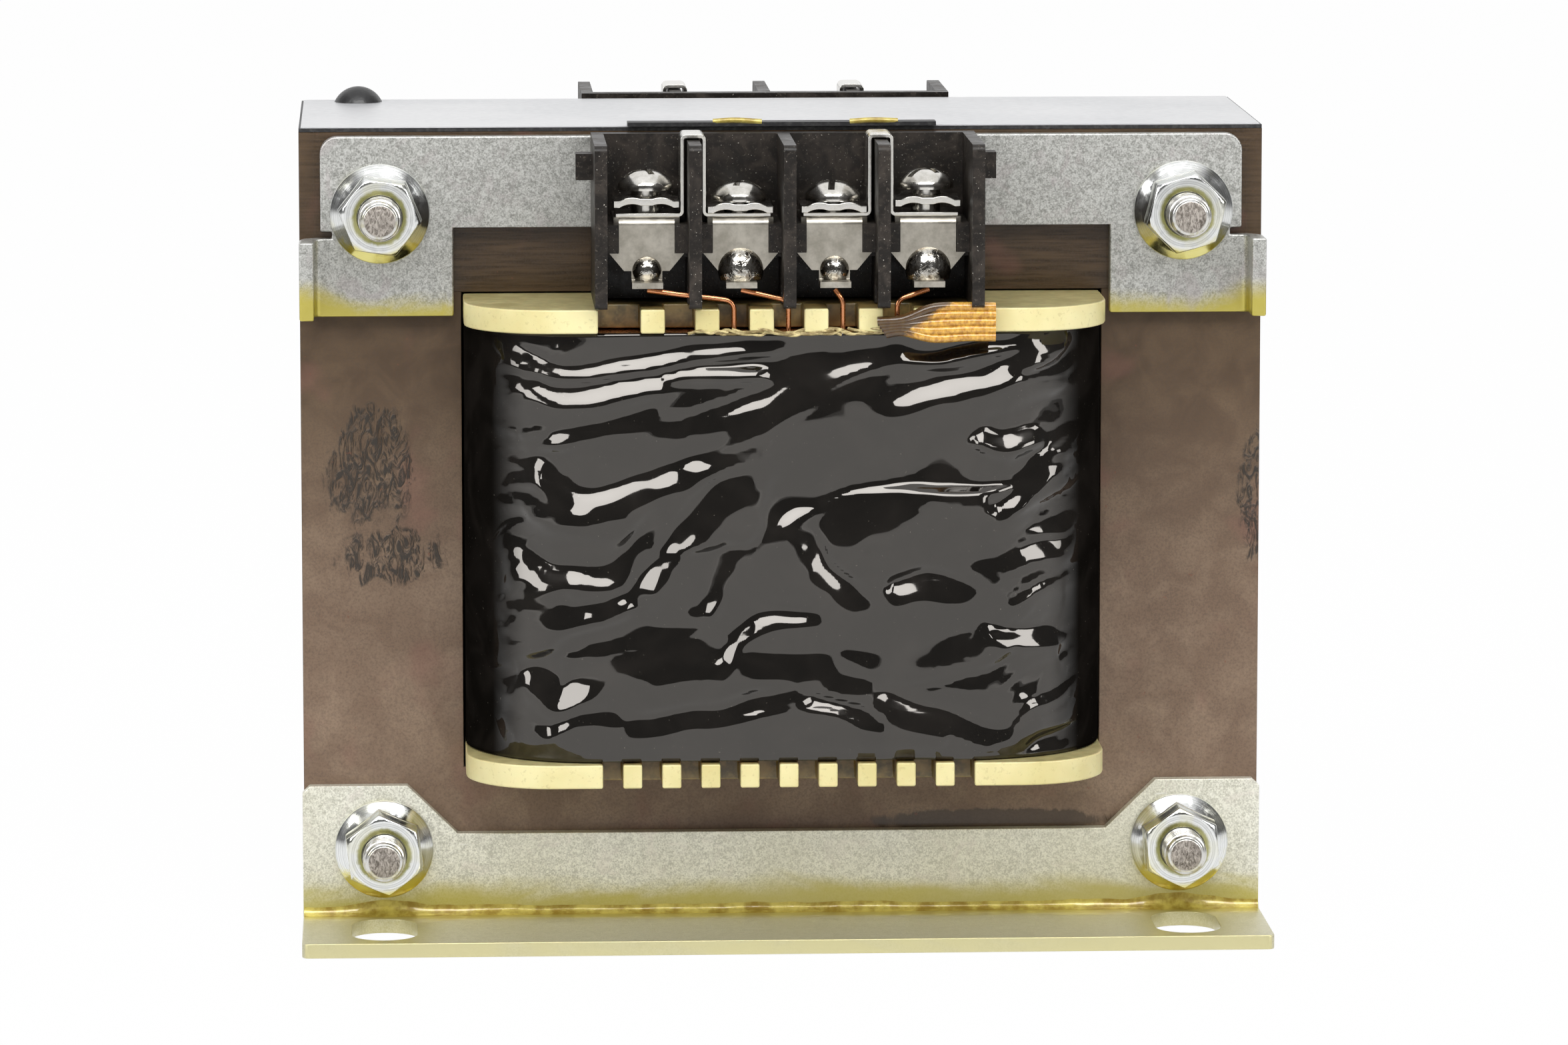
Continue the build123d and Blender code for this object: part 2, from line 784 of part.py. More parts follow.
os.makedirs("parts", exist_ok=True)

e_packs, i_packs = core_packs()
save("e_laminations", *e_packs)
save("i_laminations", *i_packs)

bolts, nuts, sleeves = fasteners()
save("core_bolts", *bolts)
save("flange_nuts", *nuts)
save("bolt_sleeves", *sleeves)

front_foot = foot()
front_clamp = clamp()
save("front_foot", front_foot)
save("rear_foot", rear_copy(front_foot))
save("front_clamp", front_clamp)
save("rear_clamp", rear_copy(front_clamp))

cover, label = cover_and_label()
save("top_cover", cover)
save("top_label", label)
save("edge_strip", edge_strip())

save("bobbin", bobbin())
save("primary_winding", winding_layer(0, primary_build))
save("winding_insulation", winding_layer(primary_build, insulation_build))
save("secondary_winding", winding_layer(primary_build + insulation_build, secondary_build))
save("outer_wrap", outer_wrap())

block = terminal_block()
plates = [terminal_plate(x) for x in bay_centres()]
links = [link(wall_centres()[index]) for index in (1, 3)]
pressure_plates, screws = screw_set()
solder = solder_set(plates)
sets = {
    "terminal_block": [block],
    "terminal_plates": plates,
    "terminal_links": links,
    "pressure_plates": pressure_plates,
    "terminal_screws": screws,
    "solder_joints": solder,
}
for name, shapes in sets.items():
    save(f"front_{name}", *shapes)
    save(f"rear_{name}", *[rear_copy(shape, rear_block_lift) for shape in shapes])

save("front_leads", *winding_leads())
save("rear_leads", *[rear_copy(lead) for lead in winding_leads(rear_block_lift)])

save("lead_sleeves", sleeve_bundle())
save("sealant_dab", sealant_dab())
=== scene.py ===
import bpy
import bmesh
import math
import numpy as np
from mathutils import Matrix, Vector


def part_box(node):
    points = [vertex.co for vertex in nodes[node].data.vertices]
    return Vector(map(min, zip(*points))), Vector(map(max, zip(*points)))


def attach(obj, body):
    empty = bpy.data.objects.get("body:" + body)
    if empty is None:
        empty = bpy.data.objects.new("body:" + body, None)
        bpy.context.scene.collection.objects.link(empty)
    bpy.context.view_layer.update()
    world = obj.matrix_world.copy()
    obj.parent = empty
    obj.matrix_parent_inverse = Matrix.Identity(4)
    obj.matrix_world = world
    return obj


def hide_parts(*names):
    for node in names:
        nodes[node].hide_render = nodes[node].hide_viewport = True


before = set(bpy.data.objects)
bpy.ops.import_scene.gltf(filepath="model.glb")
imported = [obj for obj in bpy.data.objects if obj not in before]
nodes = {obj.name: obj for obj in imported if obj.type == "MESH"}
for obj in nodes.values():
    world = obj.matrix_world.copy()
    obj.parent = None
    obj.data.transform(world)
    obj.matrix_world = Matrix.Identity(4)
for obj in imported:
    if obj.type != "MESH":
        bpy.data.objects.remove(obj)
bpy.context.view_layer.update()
mm = 0.001
print("frame loaded:", len(nodes), "nodes")

# Camera, at the angle of the photograph

view = {
    "place": (-0.054265, -1.104084, 0.208174),
    "pitchDown": 7.97,
    "yawRight": 2.89,
    "lens": 180.53,
    "sensorWidth": 36.0,
}


def newObject(name, data):
    made = bpy.data.objects.new(name, data)
    bpy.context.collection.objects.link(made)
    return made


def addCamera():
    data = bpy.data.cameras.new("camera")
    data.lens = view["lens"]
    data.sensor_width = view["sensorWidth"]
    data.clip_end = 20
    camera = newObject("camera", data)
    camera.location = view["place"]
    tilt = math.radians(90 - view["pitchDown"])
    camera.rotation_euler = (tilt, 0, -math.radians(view["yawRight"]))
    bpy.context.scene.camera = camera


addCamera()
print("camera placed")

# Middles of the nuts, and the depth of the bolts' end faces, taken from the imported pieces


def islandBoxes(name):
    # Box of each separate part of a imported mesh, in millimetres
    mesh = nodes[name].data
    group = list(range(len(mesh.vertices)))

    def root(index):
        while group[index] != index:
            group[index] = group[group[index]]
            index = group[index]
        return index

    same = {}
    for vertex in mesh.vertices:
        key = tuple(round(part * 1e6) for part in vertex.co)
        if key in same:
            group[root(vertex.index)] = root(same[key])
        else:
            same[key] = vertex.index
    for edge in mesh.edges:
        group[root(edge.vertices[0])] = root(edge.vertices[1])
    parts = {}
    for vertex in mesh.vertices:
        parts.setdefault(root(vertex.index), []).append(tuple(vertex.co))
    boxes = []
    for points in parts.values():
        points = np.array(points) / mm
        boxes.append((points.min(axis=0), points.max(axis=0)))
    return sorted(boxes, key=lambda pair: tuple(pair[0].round(2)))


boltBoxes = islandBoxes("core_bolts")
nutCentres = []
for low, high in islandBoxes("flange_nuts"):
    nutCentres.append(tuple(((low + high) / 2)[[0, 2]].round(3).tolist()))
endFace = round(float(boltBoxes[0][0][1]), 3)
print("bolts at:", nutCentres, "ending at", endFace)

# Material trees. Every pattern is in millimetres on the object's own coordinates.

socketNames = {
    "colour": "Base Color",
    "metallic": "Metallic",
    "roughness": "Roughness",
    "ior": "IOR",
    "coat": "Coat Weight",
    "coatRoughness": "Coat Roughness",
    "specular": "Specular IOR Level",
    "specularTint": "Specular Tint",
    "subsurface": "Subsurface Weight",
    "subsurfaceScale": "Subsurface Scale",
    "normal": "Normal",
}


class Value:
    # A socket that can be added, taken away and multiplied
    def __init__(self, maker, socket):
        self.maker = maker
        self.socket = socket

    def __add__(self, other):
        return self.maker.maths("ADD", self, other)

    def __radd__(self, other):
        return self.maker.maths("ADD", other, self)

    def __sub__(self, other):
        return self.maker.maths("SUBTRACT", self, other)

    def __rsub__(self, other):
        return self.maker.maths("SUBTRACT", other, self)

    def __mul__(self, other):
        return self.maker.maths("MULTIPLY", self, other)

    def __abs__(self):
        return self.maker.maths("ABSOLUTE", self)


class Tree:
    def __init__(self, tree):
        self.tree = tree

    def add(self, kind, inputs=None, **settings):
        node = self.tree.nodes.new(kind)
        for key, value in settings.items():
            setattr(node, key, value)
        for key, value in (inputs or {}).items():
            self.feed(node.inputs[key], value)
        return node

    def made(self, kind, inputs=None, **settings):
        return self.add(kind, inputs, **settings).outputs[0]

    def named(self, kind, inputs=None, **settings):
        node = self.add(kind, inputs, **settings)
        return {socket.name: Value(self, socket) for socket in node.outputs}

    def feed(self, socket, value):
        if isinstance(value, Value):
            value = value.socket
        if isinstance(value, bpy.types.NodeSocket):
            self.tree.links.new(value, socket)
        elif socket.type == "RGBA" and len(value) == 3:
            socket.default_value = (*value, 1.0)
        else:
            socket.default_value = value

    def maths(self, operation, a, b=0.0):
        return Value(self, self.made("ShaderNodeMath", {0: a, 1: b}, operation=operation))

    def larger(self, a, b):
        return self.maths("MAXIMUM", a, b)

    def smaller(self, a, b):
        return self.maths("MINIMUM", a, b)

    def length(self, a, b):
        return self.maths("SQRT", a * a + b * b)

    def vector(self, operation, a, b=(0, 0, 0), scale=None):
        inputs = {0: a, 1: b} if scale is None else {0: a, "Scale": scale}
        return self.made("ShaderNodeVectorMath", inputs, operation=operation)

    def joined(self, x=0.0, y=0.0, z=0.0):
        return self.made("ShaderNodeCombineXYZ", {"X": x, "Y": y, "Z": z})

    def parts(self, vector):
        return tuple(self.named("ShaderNodeSeparateXYZ", {"Vector": vector}).values())

    def span(self, value, low, high, start=0.0, end=1.0):
        inputs = {0: value, 1: low, 2: high, 3: start, 4: end}
        return Value(self, self.made("ShaderNodeMapRange", inputs, interpolation_type="SMOOTHSTEP"))

    def fall(self, value, low, high):
        return self.span(value, low, high, 1.0, 0.0)

    def rays(self):
        # Rays from the camera, and rays that mirror-like surfaces send out
        kinds = self.named("ShaderNodeLightPath")
        return kinds["Is Camera Ray"], self.larger(kinds["Is Glossy Ray"], kinds["Is Transmission Ray"])


class Look(Tree):
    def __init__(self, name):
        self.material = bpy.data.materials.new(name)
        self.material.use_nodes = True
        super().__init__(self.material.node_tree)
        self.shader = self.tree.nodes["Principled BSDF"]
        own = self.add("ShaderNodeTexCoord").outputs["Object"]
        self.place = self.vector("SCALE", own, scale=1000)
        self.x, self.y, self.z = self.parts(self.place)

    def set(self, **values):
        for key, value in values.items():
            self.feed(self.shader.inputs[socketNames[key]], value)

    def noise(self, size, detail, rough, stretch=(1, 1, 1), bend=0.0, shift=(0, 0, 0)):
        place = self.vector("DIVIDE", self.place, stretch)
        inputs = {
            "Vector": self.vector("ADD", place, shift),
            "Scale": 1 / size,
            "Detail": detail,
            "Roughness": rough,
            "Distortion": bend,
        }
        return self.named("ShaderNodeTexNoise", inputs)["Fac"]

    def mix(self, factor, a, b, mode="MIX"):
        inputs = {0: factor, 6: a, 7: b}
        return self.add("ShaderNodeMix", inputs, data_type="RGBA", blend_type=mode).outputs[2]

    def blend(self, value, low, high, a, b):
        # First colour below the low value, second above the high one
        return self.mix(self.span(value, low, high), a, b)

    def spot(self, centre, size):
        away = self.vector("DIVIDE", self.vector("SUBTRACT", self.place, centre), size)
        return self.named("ShaderNodeVectorMath", {0: away}, operation="LENGTH")["Value"]

    def bump(self, height, depth):
        return self.made("ShaderNodeBump", {"Height": height, "Distance": depth * mm})

    def fromNuts(self):
        # Distance from the nearest bolt's axis, and how far below it
        nearest, below = None, None
        for x, z in nutCentres:
            dx, dz = self.x - x, self.z - z
            away = self.length(dx, dz)
            nearest = away if nearest is None else self.smaller(nearest, away)
            drop = self.fall(away, 9, 10) * (dz * -1.0)
            below = drop if below is None else below + drop
        return nearest, below


def coreSteel(look):
    # Brown oxide under thin varnish, lighter low on the legs, dark and glossy on the upper yoke, where the
    # dark is partly the sheets' own brown and partly painted shade
    look.set(metallic=0.0, ior=1.5)
    broad = look.noise(24, 3, 0.6)
    cloud = look.noise(6, 4, 0.6, bend=0.6)
    grain = look.noise(0.9, 3, 0.6, stretch=(9, 1, 0.5))
    fine = look.noise(0.28, 2, 0.7)
    upper = look.span(look.z, 40, 84)
    pale = look.blend(cloud, 0.35, 0.7, (0.196, 0.131, 0.088), (0.25, 0.176, 0.121))
    brown = look.blend(cloud, 0.35, 0.7, (0.076, 0.045, 0.022), (0.112, 0.071, 0.037))
    tone = look.mix(upper, pale, brown)
    tone = look.blend(broad, 0.3, 0.7, look.mix(1.0, tone, (0.8, 0.78, 0.76), "MULTIPLY"), tone)
    # Upper yoke: the sheets' own darker, glossier brown, darkened further as painted shade from the terminal
    # block
    high = look.span(look.z, 88, 90) * look.span(abs(look.x), 64.0, 66.0, 1.0, 0.6)
    dark = look.blend(grain, 0.3, 0.7, (0.032, 0.019, 0.008), (0.08, 0.049, 0.024))
    tone = look.mix(high, tone, dark)
    tone = look.mix(look.span(fine, 0.35, 0.75, 0.0, 0.45), tone, (0.07, 0.048, 0.034))
    pink = look.span(look.noise(9, 2, 0.5, shift=(3, 9, 1)), 0.56, 0.74, 0.0, 0.35)
    tone = look.mix(pink, tone, (0.19, 0.085, 0.065))
    # Smears of black varnish on the left leg and along the right edge
    ragged = look.noise(3.4, 5, 0.62, stretch=(1, 1, 2.2), bend=1.1)
    speckle = look.noise(1.3, 4, 0.62, stretch=(1, 1, 2.4), bend=2.4)
    front = look.fall(look.y, -22.0, -21.0)
    left = look.spot((-57.5, -22, 65), (8.5, 30, 11.5)) - ragged * 1.1
    lower = look.spot((-55, -22, 52), (9.5, 30, 5)) - ragged * 1.2
    right = look.spot((66.5, -22, 60), (4.0, 30, 15)) - ragged * 1.0
    away = look.smaller(look.smaller(left, lower), right)
    smear = look.fall(away, 0.05, 0.22) * look.span(speckle, 0.4, 0.6)
    smear = smear * front
    tone = look.mix(smear * 0.92, tone, (0.026, 0.022, 0.018))
    # A dried puddle along the front foot on the right
    pool = look.spot((30, -22, 14.2), (19, 30, 1.9)) - ragged * 0.9
    pool = look.fall(pool, 0.35, 0.55) * front
    tone = look.mix(pool * 0.8, tone, (0.045, 0.028, 0.012))
    rust = look.span(look.noise(1.2, 3, 0.6, shift=(7, 3, 1)), 0.71, 0.75)
    tone = look.mix(rust * 0.5, tone, (0.16, 0.055, 0.03))
    # Painted shade: the window walls are darkened to stand in for the shadow inside the window
    deep = look.span(look.y, -22.4, -21.6)
    inner = look.span(abs(look.x), 44.55, 44.35) * (deep * 0.85)
    tone = look.mix(inner, tone, (0.02, 0.014, 0.01))
    look.set(colour=tone)
    rough = 0.5 - high * 0.24
    rough = rough - smear * 0.2
    rough = rough - pool * 0.3
    look.set(roughness=rough, specular=0.4)
    relief = grain * 0.5 + smear * 2.5
    look.set(normal=look.bump(relief + fine * 0.4, 0.03))


def grainyZinc(look, dark, light, pinkish):
    # Fine dark and light grain with broad faint tints
    grain = look.noise(0.20, 2, 0.75)
    coarse = look.noise(0.75, 3, 0.65, bend=0.8)
    value = grain * 0.62 + coarse * 0.38
    tone = look.blend(value, 0.36, 0.62, dark, light)
    tint = look.noise(5, 3, 0.6, bend=1.2)
    tone = look.mix(look.span(tint, 0.52, 0.72, 0.0, 0.4), tone, pinkish)
    scratch = look.noise(0.5, 1, 0.4, stretch=(14, 1, 1.2))
    scratch = look.span(scratch, 0.74, 0.80, 0.0, 0.5)
    tone = look.mix(scratch, tone, tuple(min(1.0, 1.2 * part) for part in light))
    return tone, value, tint


def zincClamp(look):
    look.set(metallic=0.8)
    tone, grain, tint = grainyZinc(look, (0.31, 0.31, 0.285), (0.68, 0.68, 0.65), (0.50, 0.44, 0.44))
    # Yellow varnish along the foot of each leg, deeper in the corner by the ear
    wavy = look.z + tint * 3.2
    corner = look.span(abs(look.x), 58, 66, 0.0, 2.6)
    yellow = look.fall(wavy - corner, 87.2, 91.0)
    legs = look.span(look.z, 82.0, 83.4)
    stain = yellow * legs
    tone = look.mix(stain * 0.95, tone, (0.58, 0.49, 0.07))
    look.set(colour=tone)
    look.set(roughness=look.span(grain, 0.3, 0.7, 0.36, 0.54))
    look.set(coat=stain * 0.8, coatRoughness=0.15)
    look.set(normal=look.bump(grain + tint * 2.0, 0.014))


def zincFoot(look):
    look.set(metallic=0.62)
    tone, grain, tint = grainyZinc(look, (0.52, 0.51, 0.43), (0.95, 0.94, 0.84), (0.80, 0.74, 0.68))
    # Varnish gathers in the fold and reaches out in patches
    across = abs(look.y) - 25.0
    over = look.z - 2.2
    fold = look.length(across, over)
    patch = look.noise(8, 3, 0.6, stretch=(2.2, 1, 1), bend=0.8)
    near = fold - (patch - 0.5) * 6.0
    stain = look.fall(near, 1.6, 5.2)
    under = look.fall(abs(abs(look.x) - 55), 2, 9)
    drip = under * look.fall(look.z, 5, 11.5)
    stain = look.larger(stain, drip * 0.6)
    tone = look.mix(stain * 0.88, tone, (0.5, 0.43, 0.055))
    broad = look.span(look.noise(30, 2, 0.5, stretch=(1, 9, 9)), 0.35, 0.65, 0.0, 0.25)
    tone = look.mix(broad, tone, (0.60, 0.56, 0.36))
    ledge = look.span(abs(look.y), 26, 29, 0.0, 0.55)
    tone = look.mix(ledge, tone, (0.44, 0.40, 0.19))
    rim = look.span(abs(look.y), 45.35, 45.6)
    tone = look.mix(rim * look.span(patch, 0.3, 0.6, 0.55, 0.9), tone, (0.66, 0.61, 0.33))
    look.set(colour=tone)
    look.set(roughness=look.span(grain, 0.3, 0.7, 0.34, 0.5))
    look.set(coat=stain * 0.9, coatRoughness=0.12)
    look.set(normal=look.bump(grain + tint * 2.0, 0.014))


def zincNut(look):
    # Bright zinc turned round the bolt's own axis, with varnish low on the flanges and round the bores
    look.set(metallic=1.0)
    ring, below = look.fromNuts()
    place = look.joined(ring, look.y)
    turned = look.add("ShaderNodeTexNoise", {"Vector": place, "Scale": 7.0, "Detail": 2.0}).outputs["Fac"]
    cloud = look.noise(1.6, 3, 0.6, bend=0.8)
    tone = look.blend(turned, 0.3, 0.7, (0.66, 0.67, 0.66), (0.9, 0.91, 0.9))
    wet = below + (cloud - 0.5) * 5.0
    skirt = look.span(wet, 2.3, 4.5) * look.span(ring, 4.6, 5.6)
    edge = ring + cloud * 0.8
    bore = look.span(ring, 3.05, 3.2) * look.fall(edge, 3.9, 4.5)
    stain = look.larger(skirt * 0.85, bore * 0.9)
    varnish = look.blend(ring, 4.0, 5.0, (0.26, 0.25, 0.05), (0.74, 0.66, 0.16))
    tone = look.mix(stain, tone, varnish)
    faint = look.span(look.noise(4, 2, 0.5), 0.5, 0.65, 0.0, 0.22)
    tone = look.mix(faint, tone, (0.80, 0.76, 0.42))
    look.set(colour=tone, roughness=look.span(cloud, 0.3, 0.7, 0.14, 0.24))
    look.set(normal=look.bump(turned, 0.004))


def boltEnd(look):
    # Rough sheared end faces with a smooth rim, and zinc on the threads
    look.set(metallic=0.9)
    scratch = look.noise(0.5, 4, 0.7, stretch=(1, 1, 2.2), bend=1.6)
    away = look.fromNuts()[0]
    face = look.span(look.y, endFace + 0.12, endFace + 0.04) * look.fall(away, 2.05, 2.25)
    rough = look.blend(scratch, 0.35, 0.65, (0.15, 0.13, 0.11), (0.56, 0.51, 0.46))
    tone = look.mix(face, (0.70, 0.69, 0.66), rough)
    grime = look.span(look.noise(0.9, 3, 0.6), 0.45, 0.7, 0.0, 0.5)
    tone = look.mix(grime * (1.0 - face), tone, (0.4, 0.36, 0.16))
    look.set(colour=tone, roughness=look.span(face, 0.0, 1.0, 0.24, 0.5))
    look.set(normal=look.bump(scratch * face, 0.1))


def blackBoard(look):
    look.set(roughness=0.5)
    fleck = look.noise(0.7, 3, 0.6)
    look.set(colour=look.blend(fleck, 0.4, 0.75, (0.012, 0.012, 0.013), (0.045, 0.044, 0.044)))
    look.set(normal=look.bump(fleck, 0.01))


def labelFilm(look):
    look.set(coat=0.25, coatRoughness=0.25)
    speck = look.noise(1.3, 3, 0.6)
    broad = look.noise(30, 2, 0.5)
    tone = look.blend(broad, 0.3, 0.7, (0.54, 0.545, 0.56), (0.64, 0.64, 0.65))
    look.set(colour=look.mix(look.span(speck, 0.68, 0.78, 0.0, 0.3), tone, (0.45, 0.45, 0.47)))
    look.set(roughness=look.span(speck, 0.3, 0.7, 0.3, 0.42), normal=look.bump(broad, 0.05))


def creamNylon(look):
    # Cream on the flange edges; dull olive on upward faces, partly varnish grime and partly painted shade;
    # dark amber varnish in the comb
    look.set(ior=1.53, subsurface=0.10, subsurfaceScale=0.001, coat=0.2, coatRoughness=0.2)
    broad = look.noise(12, 3, 0.55)
    tone = look.blend(broad, 0.3, 0.7, (0.62, 0.54, 0.24), (0.76, 0.69, 0.37))
    # Upward faces go dull olive: varnish grime together with painted shade
    facing = look.parts(look.add("ShaderNodeNewGeometry").outputs["Normal"])[2]
    top = look.span(facing, 0.55, 0.9)
    olive = look.blend(look.noise(2.2, 4, 0.65), 0.35, 0.7, (0.3, 0.25, 0.1), (0.5, 0.43, 0.2))
    tone = look.mix(top * 0.75, tone, olive)
    recess = look.fall(abs(look.y), 42.4, 43.2)
    comb = recess * look.fall(abs(look.x), 25.5, 26.3)
    amber = look.blend(look.noise(2.8, 3, 0.6), 0.35, 0.65, (0.06, 0.036, 0.01), (0.26, 0.17, 0.05))
    tone = look.mix(comb * 0.9, tone, amber)
    dust = look.span(look.noise(0.6, 3, 0.65), 0.56, 0.70)
    tone = look.mix(dust * 0.3, tone, (0.36, 0.29, 0.12))
    look.set(colour=tone, roughness=look.span(broad, 0.2, 0.8, 0.28, 0.42))
    look.set(normal=look.bump(look.noise(0.5, 3, 0.6), 0.010))


def blackFilm(look):
    look.set(ior=1.68, specularTint=(1.0, 0.95, 0.89))
    fog = look.noise(9, 2, 0.6, bend=0.8)
    dust = look.span(look.noise(0.36, 2, 0.7), 0.72, 0.77)
    tone = look.blend(fog, 0.35, 0.75, (0.0042, 0.0036, 0.003), (0.0095, 0.008, 0.0068))
    look.set(colour=look.mix(dust * 0.5, tone, (0.22, 0.2, 0.16)))
    look.set(roughness=look.span(fog, 0.3, 0.75, 0.03, 0.075))
    # Painted shade: reflection fades out on the sides that turn into the window, so they show as the dark gap
    # between coil and core
    look.set(specular=look.span(abs(look.x), 35.5, 40.5, 0.62, 0.0))
    look.set(normal=look.bump(look.noise(5.0, 1, 0.5), 0.05))


def paper(look):
    look.set(roughness=0.7)
    fibre = look.noise(0.8, 4, 0.7, stretch=(4, 4, 1))
    look.set(colour=look.mix(fibre, (0.55, 0.45, 0.28), (0.33, 0.27, 0.168)), normal=look.bump(fibre, 0.03))


def copperWire(look):
    look.set(metallic=1.0, coat=0.6, coatRoughness=0.12)
    streak = look.noise(1.2, 3, 0.6)
    look.set(colour=look.mix(streak, (0.62, 0.20, 0.07), (0.90, 0.42, 0.20)))
    look.set(roughness=look.span(streak, 0.2, 0.8, 0.18, 0.35))


def blackMoulding(look):
    # Black plastic under a film of dust, with pale specks on the faces and rims
    look.set(specular=0.35)
    dust = look.noise(0.5, 3, 0.75)
    wear = look.noise(3.5, 4, 0.65, bend=1.2)
    tone = look.blend(wear, 0.4, 0.75, (0.0095, 0.0072, 0.0055), (0.036, 0.028, 0.022))
    tone = look.mix(look.span(dust, 0.56, 0.70, 0.0, 0.55), tone, (0.12, 0.10, 0.08))
    speck = look.span(look.noise(0.26, 1, 0.5, shift=(4, 2, 9)), 0.735, 0.775)
    tone = look.mix(speck * 0.8, tone, (0.55, 0.52, 0.46))
    look.set(colour=tone, roughness=look.span(wear, 0.3, 0.7, 0.32, 0.5))
    look.set(normal=look.bump(dust + wear * 1.2, 0.02))


def nickelPlate(look):
    look.set(metallic=0.95)
    dull = look.noise(2.6, 4, 0.65)
    tone = look.blend(dull, 0.3, 0.7, (0.4, 0.37, 0.31), (0.66, 0.62, 0.54))
    pit = look.span(look.noise(0.3, 2, 0.6), 0.70, 0.76)
    tone = look.mix(pit * 0.6, tone, (0.1, 0.085, 0.06))
    look.set(colour=tone, roughness=look.span(dull, 0.3, 0.7, 0.30, 0.46))
    look.set(normal=look.bump(look.noise(0.3, 3, 0.7), 0.005))


def brightNickel(look):
    look.set(metallic=1.0)
    dull = look.noise(1.8, 4, 0.65)
    look.set(colour=look.blend(dull, 0.3, 0.7, (0.62, 0.6, 0.55), (0.82, 0.8, 0.76)))
    look.set(roughness=look.span(dull, 0.3, 0.7, 0.12, 0.26))
    look.set(normal=look.bump(look.noise(0.9, 2, 0.6), 0.01))


def solderTin(look):
    # Shiny solder under brown flux
    look.set(metallic=1.0)
    flow = look.noise(1.3, 3, 0.6, bend=0.9)
    tone = look.blend(flow, 0.3, 0.7, (0.34, 0.32, 0.28), (0.72, 0.7, 0.65))
    flux = look.span(look.noise(1.0, 2, 0.6, shift=(5, 1, 2)), 0.55, 0.68, 0.0, 0.6)
    look.set(colour=look.mix(flux, tone, (0.12, 0.075, 0.035)))
    look.set(roughness=look.span(flow, 0.3, 0.7, 0.08, 0.2), normal=look.bump(flow, 0.16))


def varnishedSleeve(look):
    # Amber sleeving, charred towards the lead
    look.set(coat=0.8, coatRoughness=0.1, subsurface=0.1, subsurfaceScale=0.001)
    weave = look.noise(0.45, 3, 0.6, stretch=(1, 1, 2))
    burnt = (20.5 - look.x) * 0.16 + (look.z - 87.6) * 0.22
    char = look.noise(1.6, 4, 0.65, stretch=(2.5, 1, 1), bend=1.0) + burnt
    tone = look.blend(weave, 0.3, 0.7, (0.4, 0.17, 0.015), (0.74, 0.43, 0.07))
    look.set(colour=look.mix(look.span(char, 0.60, 0.85, 0.0, 0.93), tone, (0.035, 0.016, 0.006)))
    look.set(roughness=0.35, normal=look.bump(weave, 0.06))


def clothFibre(look):
    look.set(roughness=0.6, coat=0.4, coatRoughness=0.2)
    fray = look.noise(0.5, 4, 0.7, stretch=(3, 1, 1))
    tone = look.blend(fray, 0.38, 0.68, (0.16, 0.105, 0.025), (0.66, 0.55, 0.26))
    look.set(colour=tone, normal=look.bump(fray, 0.08))


def amberVarnish(look):
    look.set(metallic=0.3, roughness=0.42, coat=1.0, coatRoughness=0.06)
    cloud = look.noise(2.4, 4, 0.62)
    tone = look.blend(cloud, 0.32, 0.68, (0.3, 0.2, 0.02), (0.62, 0.52, 0.12))
    look.set(colour=tone, normal=look.bump(look.noise(1.1, 2, 0.5), 0.05))


def blackSealant(look):
    look.set(roughness=0.35)
    lump = look.noise(1.8, 3, 0.5)
    look.set(colour=look.mix(lump, (0.008, 0.008, 0.009), (0.03, 0.03, 0.03)), normal=look.bump(lump, 0.15))


looks = {}
for paint in (
    coreSteel, zincClamp, zincFoot, zincNut, boltEnd, blackBoard, labelFilm, creamNylon,
    blackFilm, paper, copperWire, blackMoulding, nickelPlate, brightNickel, solderTin,
    varnishedSleeve, blackSealant, clothFibre, amberVarnish,
):
    looks[paint.__name__] = Look(paint.__name__)
    paint(looks[paint.__name__])
print("materials made:", len(looks))

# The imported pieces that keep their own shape: finish, and width of the softened edges if any

finishes = {
    "flange_nuts": ("zincNut", 0.18),
    "top_cover": ("blackBoard", 0),
    "edge_strip": ("blackBoard", 0),
    "top_label": ("labelFilm", 0),
    "bobbin": ("creamNylon", 0.6),
    "bolt_sleeves": ("paper", 0),
    "winding_insulation": ("paper", 0),
    "primary_winding": ("copperWire", 0),
    "secondary_winding": ("copperWire", 0),
    "e_laminations": ("coreSteel", 0),
    "i_laminations": ("coreSteel", 0),
    "lead_sleeves": ("varnishedSleeve", 0),
    "sealant_dab": ("blackSealant", 0),
}
endFinishes = {
    "clamp": ("zincClamp", 0.25),
    "foot": ("zincFoot", 0.25),
    "leads": ("copperWire", 0),
    "terminal_block": ("blackMoulding", 0.16),
    "terminal_plates": ("nickelPlate", 0.08),
    "terminal_links": ("brightNickel", 0.07),
    "pressure_plates": ("brightNickel", 0.10),
    "terminal_screws": ("brightNickel", 0.10),
    "solder_joints": ("solderTin", 0.15),
}
for end in ("front_", "rear_"):
    finishes.update({end + name: values for name, values in endFinishes.items()})


def soften(piece, width):
    weld = piece.modifiers.new("weld", "WELD")
    weld.merge_threshold = 0.002 * mm
    flat = piece.modifiers.new("flat", "DECIMATE")
    flat.decimate_type = "DISSOLVE"
    flat.angle_limit = math.radians(0.4)
    edge = piece.modifiers.new("edge", "BEVEL")
    edge.width = width * mm
    edge.segments = 2
    edge.limit_method = "ANGLE"
    edge.angle_limit = math.radians(34)
    edge.use_clamp_overlap = True
    shade = piece.modifiers.new("shade", "WEIGHTED_NORMAL")
    shade.keep_sharp = False


for name, (finish, width) in finishes.items():
    piece = nodes[name]
    for slot in piece.material_slots:
        slot.material = looks[finish].material
    if width:
        soften(piece, width)
print("packed pieces finished")


def addPiece(name, mesh, look, replaced=()):
    piece = newObject(name, mesh)
    mesh.materials.clear()
    mesh.materials.append(look.material)
    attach(piece, "root")
    if replaced:
        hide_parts(*replaced)


# Film wrap: a closed ring whose outer wall is thrown into plates and folds

